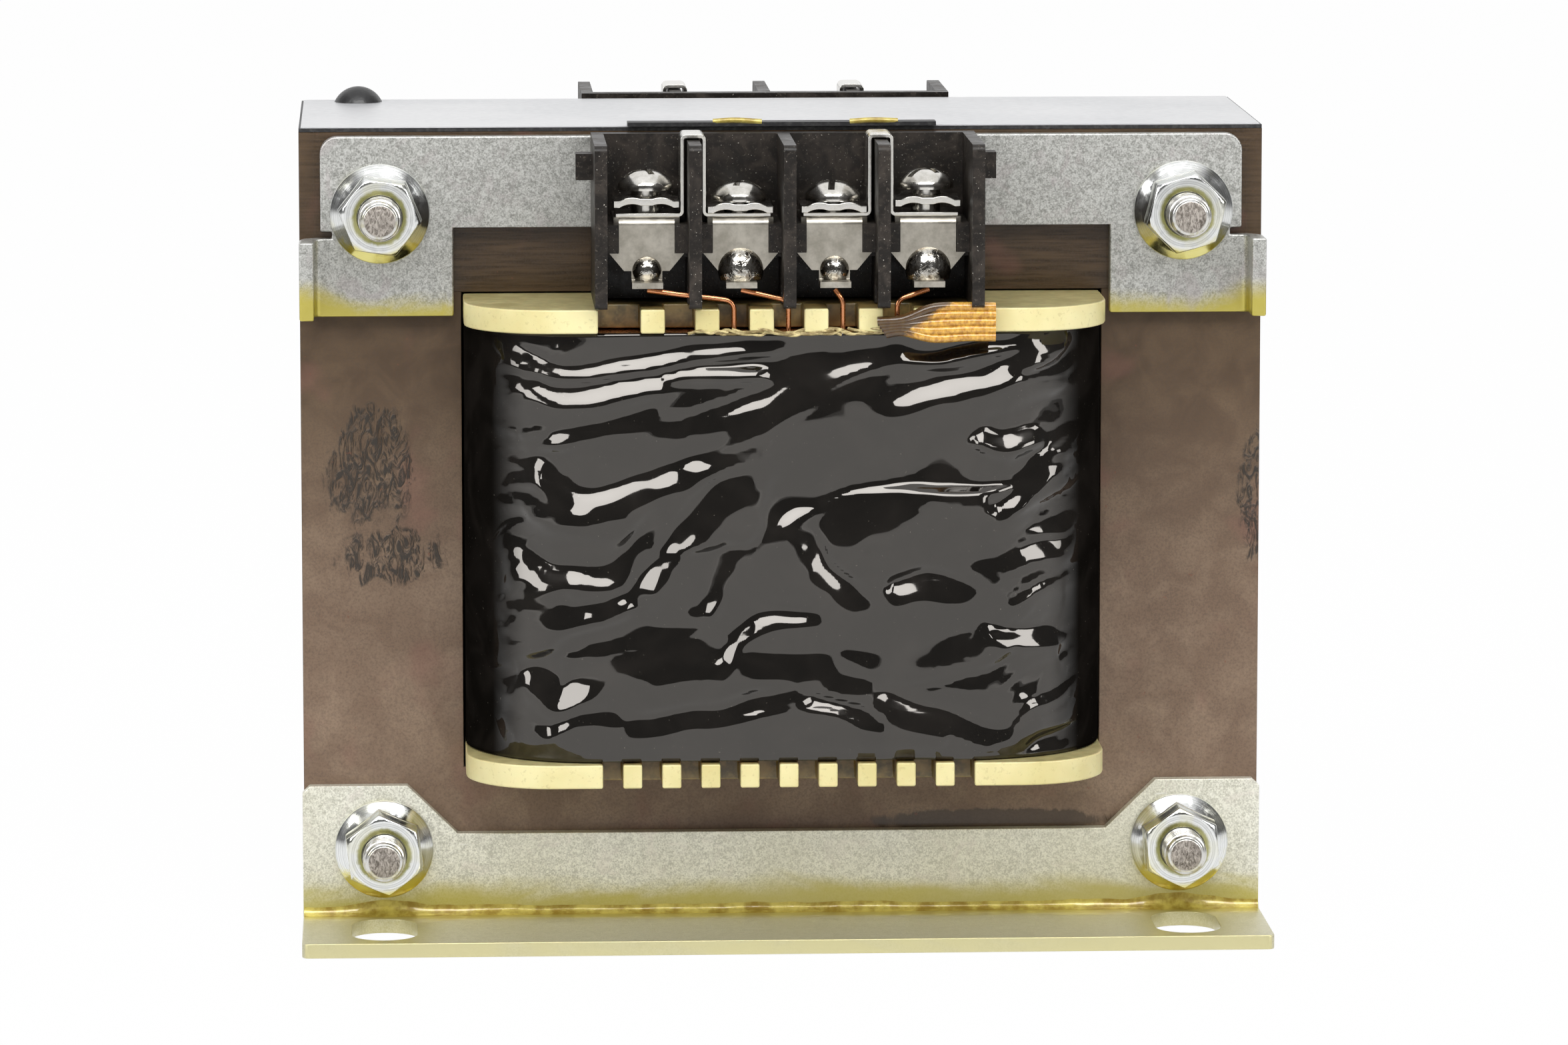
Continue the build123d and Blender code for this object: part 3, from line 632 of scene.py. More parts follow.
film = {
    "columns": 760,
    "rows": 126,
    "seed": 11,
    "belly": 0.9,
    "deepest": 1.25,
    "proudest": 1.4,
    "corner": 18.7,
    # size along the fold, size across, slope, step, strength
    "plates": [
        (40, 13, 0.16, 0.50, 1.0),
        (18, 6.4, 0.20, 0.22, 0.8),
        (9, 3.2, 0.20, 0.10, 0.7),
        (5, 1.9, 0.18, 0.06, 0.55),
    ],
    "plateShare": 0.7,
    "plateEdge": 22,
    "middle": [1.0, 0.5, 0.35, 0.15],
    "upTilt": 0.3,
    "taper": 0.22,
    "calmPlates": 0.92,
    "calmRidges": 0.8,
    "patchSpan": (-0.3, 0.45),
    "edgeSpan": (24, 33),
    # noises: height, length along, length up
    "warpAlong": [(5, 24, 17), (1.6, 9, 7)],
    "warpUp": [(5, 26, 15), (1.5, 10, 7)],
    "wander": [(0.7, 8, 6)],
    "ripple": [(0.22, 4, 3)],
    # folds steeper than this are the bright ones
    "bright": 0.4,
    "ramp": 4,
    "ridgeReach": 2.6,
    "calmReach": 1.3,
    "lean": 15,
    # the ring: wall over the winding, inner skin, lowest push, and where folds and belly fade
    "wall": 1.2,
    "skin": -1.1,
    "lowest": -0.95,
    "endFade": 0.05,
    "bellyFade": 0.16,
    "sideFade": (0.62, 0.86),
    # share of columns on the sides and at the rear
    "sideColumns": 0.12,
    "rearColumns": 0.62,
    "rearSeed": 40,
}

# Main folds of the front: points on the face from left to right, half the rise in millimetres, slope
mainFolds = [
    ([(-34.8, 73), (-13, 75.4), (4.4, 76.8), (21.9, 80.4)], 0.9, 0.2),
    ([(-7.6, 60.8), (4.4, 60.1), (13.2, 64.5), (19.7, 71)], 0.9, 0.22),
    ([(2.3, 53.5), (14.3, 59), (24.1, 63.3), (37.3, 64.9)], 0.8, 0.2),
    ([(-31.6, 43.3), (-17.4, 41), (-5.4, 41.4), (15.4, 42.9)], 0.8, 0.2),
    ([(-12, 39.8), (4.5, 38), (17.6, 39), (33, 42.8)], 0.8, 0.2),
    ([(26.4, 49), (34, 54.4), (40, 61)], 0.8, 0.22),
    ([(-39.3, 35.6), (-31.7, 30.5), (-18.5, 29.1)], 0.8, 0.22),
    ([(-33.9, 69.7), (-32.1, 64.8), (-28.1, 62), (-20.6, 63.8), (-13, 67.1), (-3.2, 71.4)], 1.15, 0.57),
    ([(-40.2, 83.7), (-30.4, 80.3), (-13, 82.2), (6.6, 84.5)], 0.5, 0.5),
    ([(-37.5, 81.2), (-34.8, 77.7), (-30.4, 76.3), (-23.9, 77.2), (-19, 78.4), (-11.9, 79.1)], 0.9, 0.57),
    ([(-34.8, 71.1), (-29.4, 71.1), (-23.9, 72.4), (-15.2, 74)], 0.55, 0.55),
    ([(-21.2, 46.5), (-19, 50.9), (-14.7, 57.5), (-9.2, 63.2), (-3.2, 66.8)], 1.15, 0.57),
    ([(-40.3, 60.4), (-34.9, 53.2), (-29.4, 52.1), (-23.4, 52.6), (-19.6, 57.5), (-13.6, 63.6)], 1, 0.57),
    ([(2.3, 62.4), (2.8, 55.5), (5.1, 51.8), (11.6, 46.3)], 0.9, 0.56),
    ([(11, 73.8), (19.7, 76.8), (26.3, 78.9), (36.1, 83)], 1, 0.57),
    ([(24.6, 71.5), (29.6, 69.6), (36.2, 71.2)], 0.8, 0.56),
    ([(27.4, 60), (31.8, 63.3), (38.4, 68.7)], 0.7, 0.56),
    ([(-33.2, 51), (-30.5, 46.9), (-25.6, 47.6), (-19, 48.7)], 0.9, 0.57),
    ([(-37.1, 40), (-33.3, 36.6), (-30.6, 35), (-25.1, 39.4)], 1, 0.57),
    ([(9.5, 35), (14.1, 33.6), (19.9, 31.8), (26.4, 29.9), (31, 28.3)], 1, 0.57),
    ([(-26.2, 30.5), (-15.2, 32.1), (-7.6, 33.7), (2.3, 35.8)], 0.6, 0.45),
    ([(12.7, 48.8), (16.3, 50.3), (19.8, 50.6), (26.4, 47.8)], 0.8, 0.56),
    ([(25.3, 44.5), (31.9, 42.8), (40.7, 43.5)], 0.8, 0.56),
    ([(-9.8, 38.7), (-7, 42.5), (-2.1, 44.9), (7.8, 46.3)], 0.6, 0.52),
    ([(-13, 45.4), (-9.8, 50.3), (-7, 58)], 0.7, 0.54),
    ([(19.9, 28.8), (24.3, 27.3), (30.9, 25.6)], 0.8, 0.56),
    ([(-34, 30), (-30.9, 31.6), (-26.8, 32.7), (-21.7, 32.4)], 0.6, 0.56),
    ([(0.2, 36), (4.9, 34.2), (11.2, 31.9), (15.1, 31)], 0.5, 0.55),
    ([(12.9, 82.3), (19, 82.5), (27.2, 83.7), (34.3, 84.5)], 0.5, 0.55),
    ([(-20.6, 78.8), (-14.5, 79.6), (-7.4, 79.8), (-0.3, 79.3)], 0.5, 0.54),
]


def softNoise(x, y, seed):
    # Gradient noise on a square lattice, about -1 to 1
    turns = np.random.default_rng(seed).random((256, 256)) * 2 * math.pi
    cellX, cellY = np.floor(x).astype(int), np.floor(y).astype(int)
    partX, partY = x - cellX, y - cellY
    easeX = partX ** 3 * (partX * (partX * 6 - 15) + 10)
    easeY = partY ** 3 * (partY * (partY * 6 - 15) + 10)

    def corner(stepX, stepY):
        turn = turns[(cellX + stepX) % 256, (cellY + stepY) % 256]
        return np.cos(turn) * (partX - stepX) + np.sin(turn) * (partY - stepY)

    low = corner(0, 0) * (1 - easeX) + corner(1, 0) * easeX
    high = corner(0, 1) * (1 - easeX) + corner(1, 1) * easeX
    return 1.5 * (low * (1 - easeY) + high * easeY)


def waves(x, y, parts, seed):
    # Sum of noises, each with its height and its two lengths
    return sum(rise * softNoise(x / a, y / b, seed + index) for index, (rise, a, b) in enumerate(parts))


def smooth(low, high, value):
    share = np.clip((value - low) / (high - low), 0, 1)
    return share * share * (3 - 2 * share)


def plates(a, b, sizeA, sizeB, slope, step, seed):
    # Nearly flat plates in a jittered grid of cells, joined over narrow bends
    rng = np.random.default_rng(seed)
    jitter = rng.uniform(0.18, 0.82, (64, 64, 2))
    tilts = rng.uniform(-1, 1, (64, 64, 2))
    rises = rng.uniform(-1, 1, (64, 64))
    cellA, cellB = a / sizeA, b / sizeB
    baseA, baseB = np.floor(cellA).astype(int), np.floor(cellB).astype(int)
    total = np.zeros_like(a)
    weights = np.zeros_like(a)
    for stepA in (-1, 0, 1):
        for stepB in (-1, 0, 1):
            ia, ib = (baseA + stepA) % 64, (baseB + stepB) % 64
            awayA = cellA - (baseA + stepA + jitter[ia, ib, 0])
            awayB = cellB - (baseB + stepB + jitter[ia, ib, 1])
            height = step * rises[ia, ib] + slope * sizeB * awayB * (tilts[ia, ib, 0] - film["upTilt"])
            height += 0.25 * slope * sizeA * awayA * tilts[ia, ib, 1]
            weight = np.exp(-film["plateEdge"] * (awayA ** 2 + awayB ** 2))
            total += weight * height
            weights += weight
    return total / (weights + 1e-9)


def runningCurve(points, samples=36):
    # Smooth curve through a few points
    points = np.array(points, float)
    points = np.concatenate([[2 * points[0] - points[1]], points, [2 * points[-1] - points[-2]]])
    share = np.linspace(0, len(points) - 3 - 1e-6, samples)
    index = share.astype(int)
    t = (share - index)[:, None]
    p0, p1, p2, p3 = (points[index + step] for step in range(4))
    squared = (2 * p0 - 5 * p1 + 4 * p2 - p3) * t ** 2
    cubed = (3 * p1 - p0 - 3 * p2 + p3) * t ** 3
    return 0.5 * (2 * p1 + (p2 - p0) * t + squared + cubed)


def foldAlong(x, z, points, height, slope):
    # A ramp of even slope along a curve, and how far it stills what lies under it
    width = abs(height) / slope
    curve = runningCurve(points)
    near = np.full(x.shape, 1e9)
    side = np.zeros_like(x)
    share = np.zeros_like(x)
    for index in range(len(curve) - 1):
        start, run = curve[index], curve[index + 1] - curve[index]
        dx, dz = x - start[0], z - start[1]
        part = np.clip((dx * run[0] + dz * run[1]) / (run @ run), 0, 1)
        away = np.hypot(dx - part * run[0], dz - part * run[1])
        closer = away < near
        near = np.where(closer, away, near)
        side = np.where(closer, np.sign(run[0] * dz - run[1] * dx) * away, side)
        share = np.where(closer, (index + part) / (len(curve) - 1), share)
    fade = smooth(0, film["taper"], share) * smooth(0, film["taper"], 1 - share)
    across = np.clip(side / width, -9, 9)
    bend = film["ramp"]
    ramp = (np.log(np.cosh(bend * (across + 1))) - np.log(np.cosh(bend * (across - 1)))) / (2 * bend)
    ridge = -height * fade * ramp * np.exp(-((near / (film["ridgeReach"] * width)) ** 2))
    return ridge, fade * np.exp(-((near / (film["calmReach"] * width)) ** 4))


def filmFolds(along, up, seed, main):
    # Height of the film in millimetres at a point of the face
    warpX = waves(along, up, film["warpAlong"], seed + 1)
    warpY = waves(along, up, film["warpUp"], seed + 3)
    lean = math.radians(film["lean"])
    a = (along + warpX) * math.cos(lean) + (up + warpY) * math.sin(lean)
    b = -(along + warpX) * math.sin(lean) + (up + warpY) * math.cos(lean)
    height = np.zeros_like(along)
    for layer, (sizeA, sizeB, slope, step, strength) in enumerate(film["plates"]):
        mask = 1.0
        if layer:
            patches = softNoise(along / 22 + layer, up / 13, seed + 7 + layer)
            mask = smooth(*film["patchSpan"], patches) * film["middle"][layer]
            mask = np.maximum(mask, smooth(*film["edgeSpan"], np.abs(along)))
        height += strength * mask * plates(a + 500, b + 500, sizeA, sizeB, slope, step, seed + 20 + layer)
    height *= film["plateShare"]
    if not main:
        return height
    ridges = np.zeros_like(along)
    calm = np.zeros_like(along)
    strayX = waves(along, up, film["wander"], seed + 30)
    strayZ = waves(along, up, film["wander"], seed + 31)
    for points, rise, slope in mainFolds:
        ridge, quiet = foldAlong(along + strayX, up + strayZ, points, rise, slope)
        if slope < film["bright"]:
            height += ridge
        else:
            ridges += ridge * (1 - film["calmRidges"] * calm)
            calm = np.maximum(calm, quiet)
    ridges *= 1 + waves(along, up, film["ripple"], seed + 32)
    return height * (1 - film["calmPlates"] * calm) + ridges


def filmRing():
    low, high = (np.array(corner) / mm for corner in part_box("outer_wrap"))
    innerY = (np.array(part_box("secondary_winding")[1]) / mm)[1]
    halfX, halfY = high[0], innerY + film["wall"]
    radius = film["corner"]
    straightX, straightY = halfX - radius, halfY - radius
    arc = radius * math.pi / 2
    # The perimeter starts at the middle of the front and runs to the right
    half = [straightX, arc, 2 * straightY, arc, straightX]
    lengths = np.cumsum([0, *half[:-1], 2 * straightX, *half[1:]])
    total = lengths[-1]
    # Columns stand closer where the folds are
    dense = np.linspace(0, total, 4001)
    side = np.minimum(np.abs(dense - total / 4), np.abs(dense - 3 * total / 4))
    weight = np.where(side < straightY + 2, film["sideColumns"], 1.0)
    weight *= np.where(np.abs(dense - total / 2) < total / 4, film["rearColumns"], 1.0)
    cumulative = np.concatenate([[0], np.cumsum((weight[1:] + weight[:-1]) / 2)])
    s = np.interp(np.linspace(0, cumulative[-1], film["columns"], endpoint=False), cumulative, dense)

    # Straight runs: start, direction and outward side; corners: middle and first angle
    runs = [
        (0, -halfY, 1, 0, 0, -1),
        (halfX, -straightY, 0, 1, 1, 0),
        (straightX, halfY, -1, 0, 0, 1),
        (-halfX, straightY, 0, -1, -1, 0),
        (-straightX, -halfY, 1, 0, 0, -1),
    ]
    corners = [
        (straightX, -straightY, -90),
        (straightX, straightY, 0),
        (-straightX, straightY, 90),
        (-straightX, -straightY, 180),
    ]

    def outline(distance, grow):
        x, y, nx, ny = (np.zeros_like(distance) for _ in range(4))
        for index, (sx, sy, dx, dy, ox, oy) in enumerate(runs):
            inside = (distance >= lengths[2 * index]) & (distance <= lengths[2 * index + 1])
            run = distance[inside] - lengths[2 * index]
            x[inside], y[inside] = sx + dx * run, sy + dy * run
            nx[inside], ny[inside] = ox, oy
        for index, (cx, cy, start) in enumerate(corners):
            inside = (distance > lengths[2 * index + 1]) & (distance < lengths[2 * index + 2])
            turn = np.radians(start) + (distance[inside] - lengths[2 * index + 1]) / radius
            nx[inside], ny[inside] = np.cos(turn), np.sin(turn)
            x[inside], y[inside] = cx + radius * nx[inside], cy + radius * ny[inside]
        return x + grow * nx, y + grow * ny, nx, ny

    rows = film["rows"]
    x, y, nx, ny = outline(s, 0)
    height = high[2] - low[2]
    shares = np.linspace(0, 1, rows)
    front = np.minimum(s, total - s) < total / 4
    along = np.where(s > total / 2, s - total, s)
    along = np.where(front, along, s - total / 2)
    alongGrid, upGrid = np.meshgrid(along, shares * height)
    levels = upGrid + low[2]
    folds = np.where(front, filmFolds(alongGrid, levels, film["seed"], True), 0)
    folds = np.where(front, folds, filmFolds(alongGrid, levels, film["seed"] + film["rearSeed"], False))
    quiet = 1 - smooth(*film["sideFade"], np.abs(nx))
    ends = smooth(0, film["endFade"], shares) * smooth(0, film["endFade"], 1 - shares)
    bulge = smooth(0, film["bellyFade"], shares) * smooth(0, film["bellyFade"], 1 - shares)
    limit = np.where(folds > 0, film["proudest"], film["deepest"])
    folds = folds / (1 + (folds / limit) ** 4) ** 0.25
    push = film["belly"] * bulge[:, None] * np.abs(ny) + folds * quiet * (0.3 + 0.7 * ends[:, None])
    push = np.maximum(push, film["lowest"])
    outer = np.stack([x + push * nx, y + push * ny, levels], axis=-1)
    ix, iy = outline(s, film["skin"])[:2]
    inner = np.stack([np.stack([ix, iy, np.full_like(ix, z)], axis=-1) for z in (low[2], high[2])])
    columns = len(s)
    points = np.concatenate([outer.reshape(-1, 3), inner.reshape(-1, 3)]) * mm
    step = np.arange(columns)
    following = (step + 1) % columns

    def band(lower, upper):
        return np.stack([lower + step, lower + following, upper + following, upper + step], axis=1)

    innerLow, innerHigh = rows * columns, (rows + 1) * columns
    faces = [band(row * columns, (row + 1) * columns) for row in range(rows - 1)]
    faces += [band(innerHigh, innerLow), band(innerLow, 0), band((rows - 1) * columns, innerHigh)]
    mesh = bpy.data.meshes.new("filmWrap")
    mesh.from_pydata(points.tolist(), [], np.concatenate(faces).tolist())
    mesh.shade_smooth()
    mesh.update()
    return mesh


filmMesh = filmRing()
addPiece("filmWrap", filmMesh, looks["blackFilm"], ["outer_wrap"])
print("film wrap made:", len(filmMesh.polygons), "faces")

# Pieces grown by node groups: what repeats or follows a path


class Growth(Tree):
    def __init__(self, name, **values):
        super().__init__(bpy.data.node_groups.new(name, "GeometryNodeTree"))
        self.values = values
        sockets = self.tree.interface
        sockets.new_socket("Shape", in_out="INPUT", socket_type="NodeSocketGeometry")
        for label, value in values.items():
            kind = "NodeSocketInt" if isinstance(value, int) else "NodeSocketFloat"
            sockets.new_socket(label, in_out="INPUT", socket_type=kind)
        sockets.new_socket("Shape", in_out="OUTPUT", socket_type="NodeSocketGeometry")
        self.given = self.named("NodeGroupInput")

    def close(self, shape, look):
        real = self.made("GeometryNodeRealizeInstances", {"Geometry": shape})
        dressed = self.made("GeometryNodeSetMaterial", {"Geometry": real, "Material": look.material})
        self.add("NodeGroupOutput", {"Shape": dressed})

    def grow(self, name, start):
        # Runs the group on a start mesh and returns the plain result
        holder = newObject(name, start)
        modifier = holder.modifiers.new("growth", "NODES")
        modifier.node_group = self.tree
        for item in self.tree.interface.items_tree:
            if item.in_out == "INPUT" and item.name in self.values:
                modifier[item.identifier] = self.values[item.name]
        bpy.context.view_layer.update()
        grown = holder.evaluated_get(bpy.context.evaluated_depsgraph_get())
        mesh = bpy.data.meshes.new_from_object(grown)
        mesh.name = name
        bpy.data.objects.remove(holder)
        return mesh


def plainMesh(name, points, edges=(), faces=()):
    mesh = bpy.data.meshes.new(name)
    mesh.from_pydata([tuple(part * mm for part in point) for point in points], list(edges), list(faces))
    return mesh


def autoSmooth(mesh, angle):
    mesh.shade_smooth()
    mesh.set_sharp_from_angle(angle=math.radians(angle))


def openShape(name):
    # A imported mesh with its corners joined
    shape = bmesh.new()
    shape.from_mesh(nodes[name].data)
    bmesh.ops.remove_doubles(shape, verts=shape.verts, dist=0.002 * mm)
    return shape


def closeShape(shape, mesh, angle):
    # Faces turned outward, shaded smooth below the angle
    bmesh.ops.recalc_face_normals(shape, faces=shape.faces)
    shape.to_mesh(mesh)
    shape.free()
    autoSmooth(mesh, angle)
    return mesh


# Core sheets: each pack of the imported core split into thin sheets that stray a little

sheets = {"Count": 10, "Spacing": 0.5 * mm, "Stray": 0.035 * mm, "Seed": 5}
sheetShape = {"thickness": 0.496, "bevel": 0.05, "shortEdge": 1.5}


def sheetOutlines(name):
    # The packs' front faces as thin closed sheets
    shape = openShape(name)
    other = [face for face in shape.faces if face.normal.y > -0.99]
    bmesh.ops.delete(shape, geom=other, context="FACES")
    grown = bmesh.ops.extrude_face_region(shape, geom=shape.faces[:], use_keep_orig=True)
    moved = [item for item in grown["geom"] if isinstance(item, bmesh.types.BMVert)]
    bmesh.ops.translate(shape, verts=moved, vec=(0, sheetShape["thickness"] * mm, 0))
    bmesh.ops.recalc_face_normals(shape, faces=shape.faces)
    # Only the long edges between a face and a wall are bevelled
    rims = []
    for edge in shape.edges:
        flat = [face for face in edge.link_faces if abs(face.normal.y) > 0.99]
        if len(edge.link_faces) == 2 and len(flat) == 1 and edge.calc_length() > sheetShape["shortEdge"] * mm:
            rims.append(edge)
    bevel = sheetShape["bevel"] * mm
    bmesh.ops.bevel(shape, geom=rims, offset=bevel, segments=1, affect="EDGES", clamp_overlap=True)
    mesh = bpy.data.meshes.new(name + "Outline")
    shape.to_mesh(mesh)
    shape.free()
    return mesh


def sheetGrowth():
    growth = Growth("sheetGrowth", **sheets)
    given = growth.given
    line = {"Count": given["Count"], "Offset": growth.joined(y=given["Spacing"])}
    spread = {"Points": growth.made("GeometryNodeMeshLine", line), "Instance": given["Shape"]}
    placed = growth.made("GeometryNodeInstanceOnPoints", spread)
    real = growth.made("GeometryNodeRealizeInstances", {"Geometry": placed})
    island = growth.add("GeometryNodeInputMeshIsland").outputs["Island Index"]
    low, high = given["Stray"] * -1.0, given["Stray"]
    corners = {0: growth.joined(x=low, z=low), 1: growth.joined(x=high, z=high)}
    inputs = {**corners, "ID": island, "Seed": given["Seed"]}
    draw = growth.add("FunctionNodeRandomValue", data_type="FLOAT_VECTOR")
    for socket, value in inputs.items():
        growth.feed(draw.inputs[socket], value)
    moved = growth.made("GeometryNodeSetPosition", {"Geometry": real, "Offset": draw.outputs[0]})
    growth.close(moved, looks["coreSteel"])
    return growth


stacking = sheetGrowth()
for pieceName, nodeName in (("coreSheetsE", "e_laminations"), ("coreSheetsI", "i_laminations")):
    sheetMesh = stacking.grow(pieceName, sheetOutlines(nodeName))
    addPiece(pieceName, sheetMesh, looks["coreSteel"], [nodeName])
    print(pieceName, "made:", len(sheetMesh.polygons), "faces")

# Bolts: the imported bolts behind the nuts, with threaded ends in front

thread = {
    "Radius": 2.98 * mm,
    "Depth": 0.42 * mm,
    "Pitch": 1.0 * mm,
    "Reach": 8.0 * mm,
    "Tip": 2.3 * mm,
    "Rounds": 44,
    "Rings": 110,
}
threadShape = {"crest": 0.08, "root": 0.40, "tipRound": 0.45 * mm, "overlap": 0.2}


def threadGrowth():
    # A cylinder whose skin is drawn in along a helix and rounded off at the tip
    growth = Growth("threadGrowth", **thread)
    given = growth.given
    sizes = {
        "Vertices": given["Rounds"],
        "Side Segments": given["Rings"],
        "Radius": given["Radius"],
        "Depth": given["Reach"],
    }
    rod = growth.made("GeometryNodeMeshCylinder", sizes, fill_type="TRIANGLE_FAN")
    place = growth.made("GeometryNodeInputPosition")
    x, y, z = growth.parts(place)
    angle = growth.maths("ARCTAN2", y, x)
    turn = growth.maths("DIVIDE", z, given["Pitch"]) + angle * (0.5 / math.pi)
    wave = abs(growth.maths("FRACT", turn) - 0.5)
    groove = growth.fall(wave, threadShape["crest"], threadShape["root"])
    radius = given["Radius"] - groove * given["Depth"]
    below = given["Reach"] * 0.5 - z
    tip = given["Tip"] + growth.maths("SQRT", below * threadShape["tipRound"])
    share = growth.maths("DIVIDE", growth.smaller(radius, tip), given["Radius"])
    shaped = {"Geometry": rod, "Position": growth.vector("MULTIPLY", place, growth.joined(share, share, 1.0))}
    stub = growth.made("GeometryNodeSetPosition", shaped)
    spread = {"Points": given["Shape"], "Instance": stub, "Rotation": (math.pi / 2, 0, 0)}
    growth.close(growth.made("GeometryNodeInstanceOnPoints", spread), looks["boltEnd"])
    return growth


def boltPiece():
    reach = thread["Reach"] / mm
    starts = plainMesh("boltStarts", [(x, endFace + reach / 2, z) for x, z in nutCentres])
    stubs = threadGrowth().grow("boltStubs", starts)
    shape = openShape("core_bolts")
    everything = shape.verts[:] + shape.edges[:] + shape.faces[:]
    plane = {"plane_co": (0, (endFace + reach - threadShape["overlap"]) * mm, 0), "plane_no": (0, -1, 0)}
    bmesh.ops.bisect_plane(shape, geom=everything, dist=1e-7, clear_outer=True, **plane)
    rims = [edge for edge in shape.edges if edge.is_boundary]
    bmesh.ops.holes_fill(shape, edges=rims)
    shape.from_mesh(stubs)
    return closeShape(shape, bpy.data.meshes.new("threadedBolts"), 38)


boltMesh = boltPiece()
addPiece("threadedBolts", boltMesh, looks["boltEnd"], ["core_bolts"])
print("bolts made:", len(boltMesh.polygons), "faces")

# Sleeves, strands of cloth and other things that run along a path

sleeve = {
    "Height": 0.66 * mm,
    "Depth": 0.85 * mm,
    "RibPitch": 0.62 * mm,
    "RibHeight": 0.10,
    "Roughness": 0.10,
    "Step": 0.11 * mm,
}


def strandGrowth(name, look, values):
    # Flattened tubes along the start mesh's edges, ribbed and slightly uneven
    growth = Growth(name, **values)
    given = growth.given
    line = growth.made("GeometryNodeMeshToCurve", {"Mesh": given["Shape"]})
    even = growth.made("GeometryNodeResampleCurve", {"Curve": line, "Length": given["Step"]}, mode="LENGTH")
    run = growth.named("GeometryNodeSplineParameter")
    wave = growth.maths("SINE", growth.maths("DIVIDE", run["Length"], given["RibPitch"]) * (2 * math.pi))
    place = growth.vector("SCALE", growth.made("GeometryNodeInputPosition"), scale=1 / mm)
    lump = growth.named("ShaderNodeTexNoise", {"Vector": place, "Scale": 0.6, "Detail": 2.0})["Fac"]
    size = 1.0 + wave * given["RibHeight"] + (lump - 0.5) * (given["Roughness"] * 4.0)
    start = growth.span(run["Factor"], 0.0, 0.06, 0.7, 1.0)
    end = growth.span(run["Factor"], 0.85, 1.0, 1.0, 0.5)
    thick = size * (start * end)
    curve = growth.made("GeometryNodeSetCurveRadius", {"Curve": even, "Radius": thick})
    curve = growth.made("GeometryNodeSetCurveNormal", {"Curve": curve}, mode="Z_UP")
    ring = growth.made("GeometryNodeCurvePrimitiveCircle", {"Resolution": 14, "Radius": 1.0})
    stretch = growth.joined(given["Depth"], given["Height"], 1.0)
    ring = growth.made("GeometryNodeTransform", {"Geometry": ring, "Scale": stretch})
    inputs = {"Curve": curve, "Profile Curve": ring, "Fill Caps": True}
    growth.close(growth.made("GeometryNodeCurveToMesh", inputs), look)
    return growth


def strands(paths):
    # Start mesh of smooth paths, each given by a few points
    points, edges = [], []
    for path in paths:
        curve = runningCurve(path, 40)
        first = len(points)
        points += curve.tolist()
        edges += [(first + index, first + index + 1) for index in range(len(curve) - 1)]
    return plainMesh("strandPaths", points, edges)


def addStrands(name, look, values, paths, angle, replaced=()):
    grown = strandGrowth(name + "Growth", looks[look], values).grow(name, strands(paths))
    autoSmooth(grown, angle)
    addPiece(name, grown, looks[look], replaced)
    print(name, "made:", len(grown.polygons), "faces")


bundleShape = {"sleeves": 5, "level": 84.95, "pitch": 1.02, "endLevel": 85.4, "endPitch": 0.42}
bundlePaths = []
for row in range(bundleShape["sleeves"]):
    level = bundleShape["level"] + bundleShape["pitch"] * row
    left = bundleShape["endLevel"] + bundleShape["endPitch"] * row
    bundlePaths.append([
        (28.0, -44.35, level),
        (24.0, -44.5 - 0.1 * (row % 2), level + 0.05),
        (19.5, -44.55, level - 0.1),
        (15.5, -44.3, left + 0.3),
        (13.2 - 0.3 * row, -43.9, left),
    ])
addStrands("sleeveBundle", "varnishedSleeve", sleeve, bundlePaths, 60, ["lead_sleeves"])

fibre = {
    "Height": 0.20 * mm,
    "Depth": 0.22 * mm,
    "RibPitch": 0.7 * mm,
    "RibHeight": 0.22,
    "Roughness": 0.30,
    "Step": 0.12 * mm,
}
clothShape = {"seed": 3, "strands": 16, "left": -13.0, "pitch": 1.62, "front": -43.2, "level": 85.6}
fibreRandom = np.random.default_rng(clothShape["seed"])
fibrePaths = []
for index in range(clothShape["strands"]):
    x = clothShape["left"] + clothShape["pitch"] * index + fibreRandom.uniform(-0.9, 0.9)
    path = [(x, clothShape["front"], clothShape["level"] + fibreRandom.uniform(-0.4, 0.6))]
    for step in range(4):
        height = clothShape["level"] - 0.05 + fibreRandom.uniform(-0.45, 0.5)
        x = path[-1][0] + fibreRandom.uniform(0.8, 2.2)
        path.append((x, clothShape["front"] - 0.1 + fibreRandom.uniform(-0.3, 0.2), height))
    fibrePaths.append(path)
addStrands("clothEdge", "clothFibre", fibre, fibrePaths, 60)

# Two blobs of varnish on the strip's front edge

blob = {
    "Height": 0.42 * mm,
    "Depth": 0.50 * mm,
    "RibPitch": 2.6 * mm,
    "RibHeight": 0.25,
    "Roughness": 0.35,
    "Step": 0.12 * mm,
}
stripLow, stripHigh = (np.array(corner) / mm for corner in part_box("edge_strip"))
stripFront, stripTop = float(stripLow[1]), float(stripHigh[2])
# Points of each blob: across, behind the strip's front, above its top
blobPoints = [
    [(-9.5, 0.5, 0.05), (-6.5, 0.25, 0.25), (-2.8, 0.4, 0.0)],
    [(9.4, 0.4, 0.0), (12.6, 0.2, 0.2), (16.0, 0.5, 0.05)],
]
blobPaths = [[(x, stripFront + y, stripTop + z) for x, y, z in path] for path in blobPoints]
addStrands("varnishDrops", "amberVarnish", blob, blobPaths, 80)

# Varnish that has run into the folds of the feet

varnish = {
    "columns": 420,
    "rows": 9,
    "face": 24.5,
    "ledge": 2.0,
    "usual": 1.15,
    "smallest": 1.08,
    # rise and length of the broad and the fine waves
    "waves": [(0.35, 9, 0), (0.15, 2.6, 5)],
    "margin": 0.15,
    "under": 1.0,
    "spread": 4.6,
    "inset": 0.12,
    "seed": 8,
}


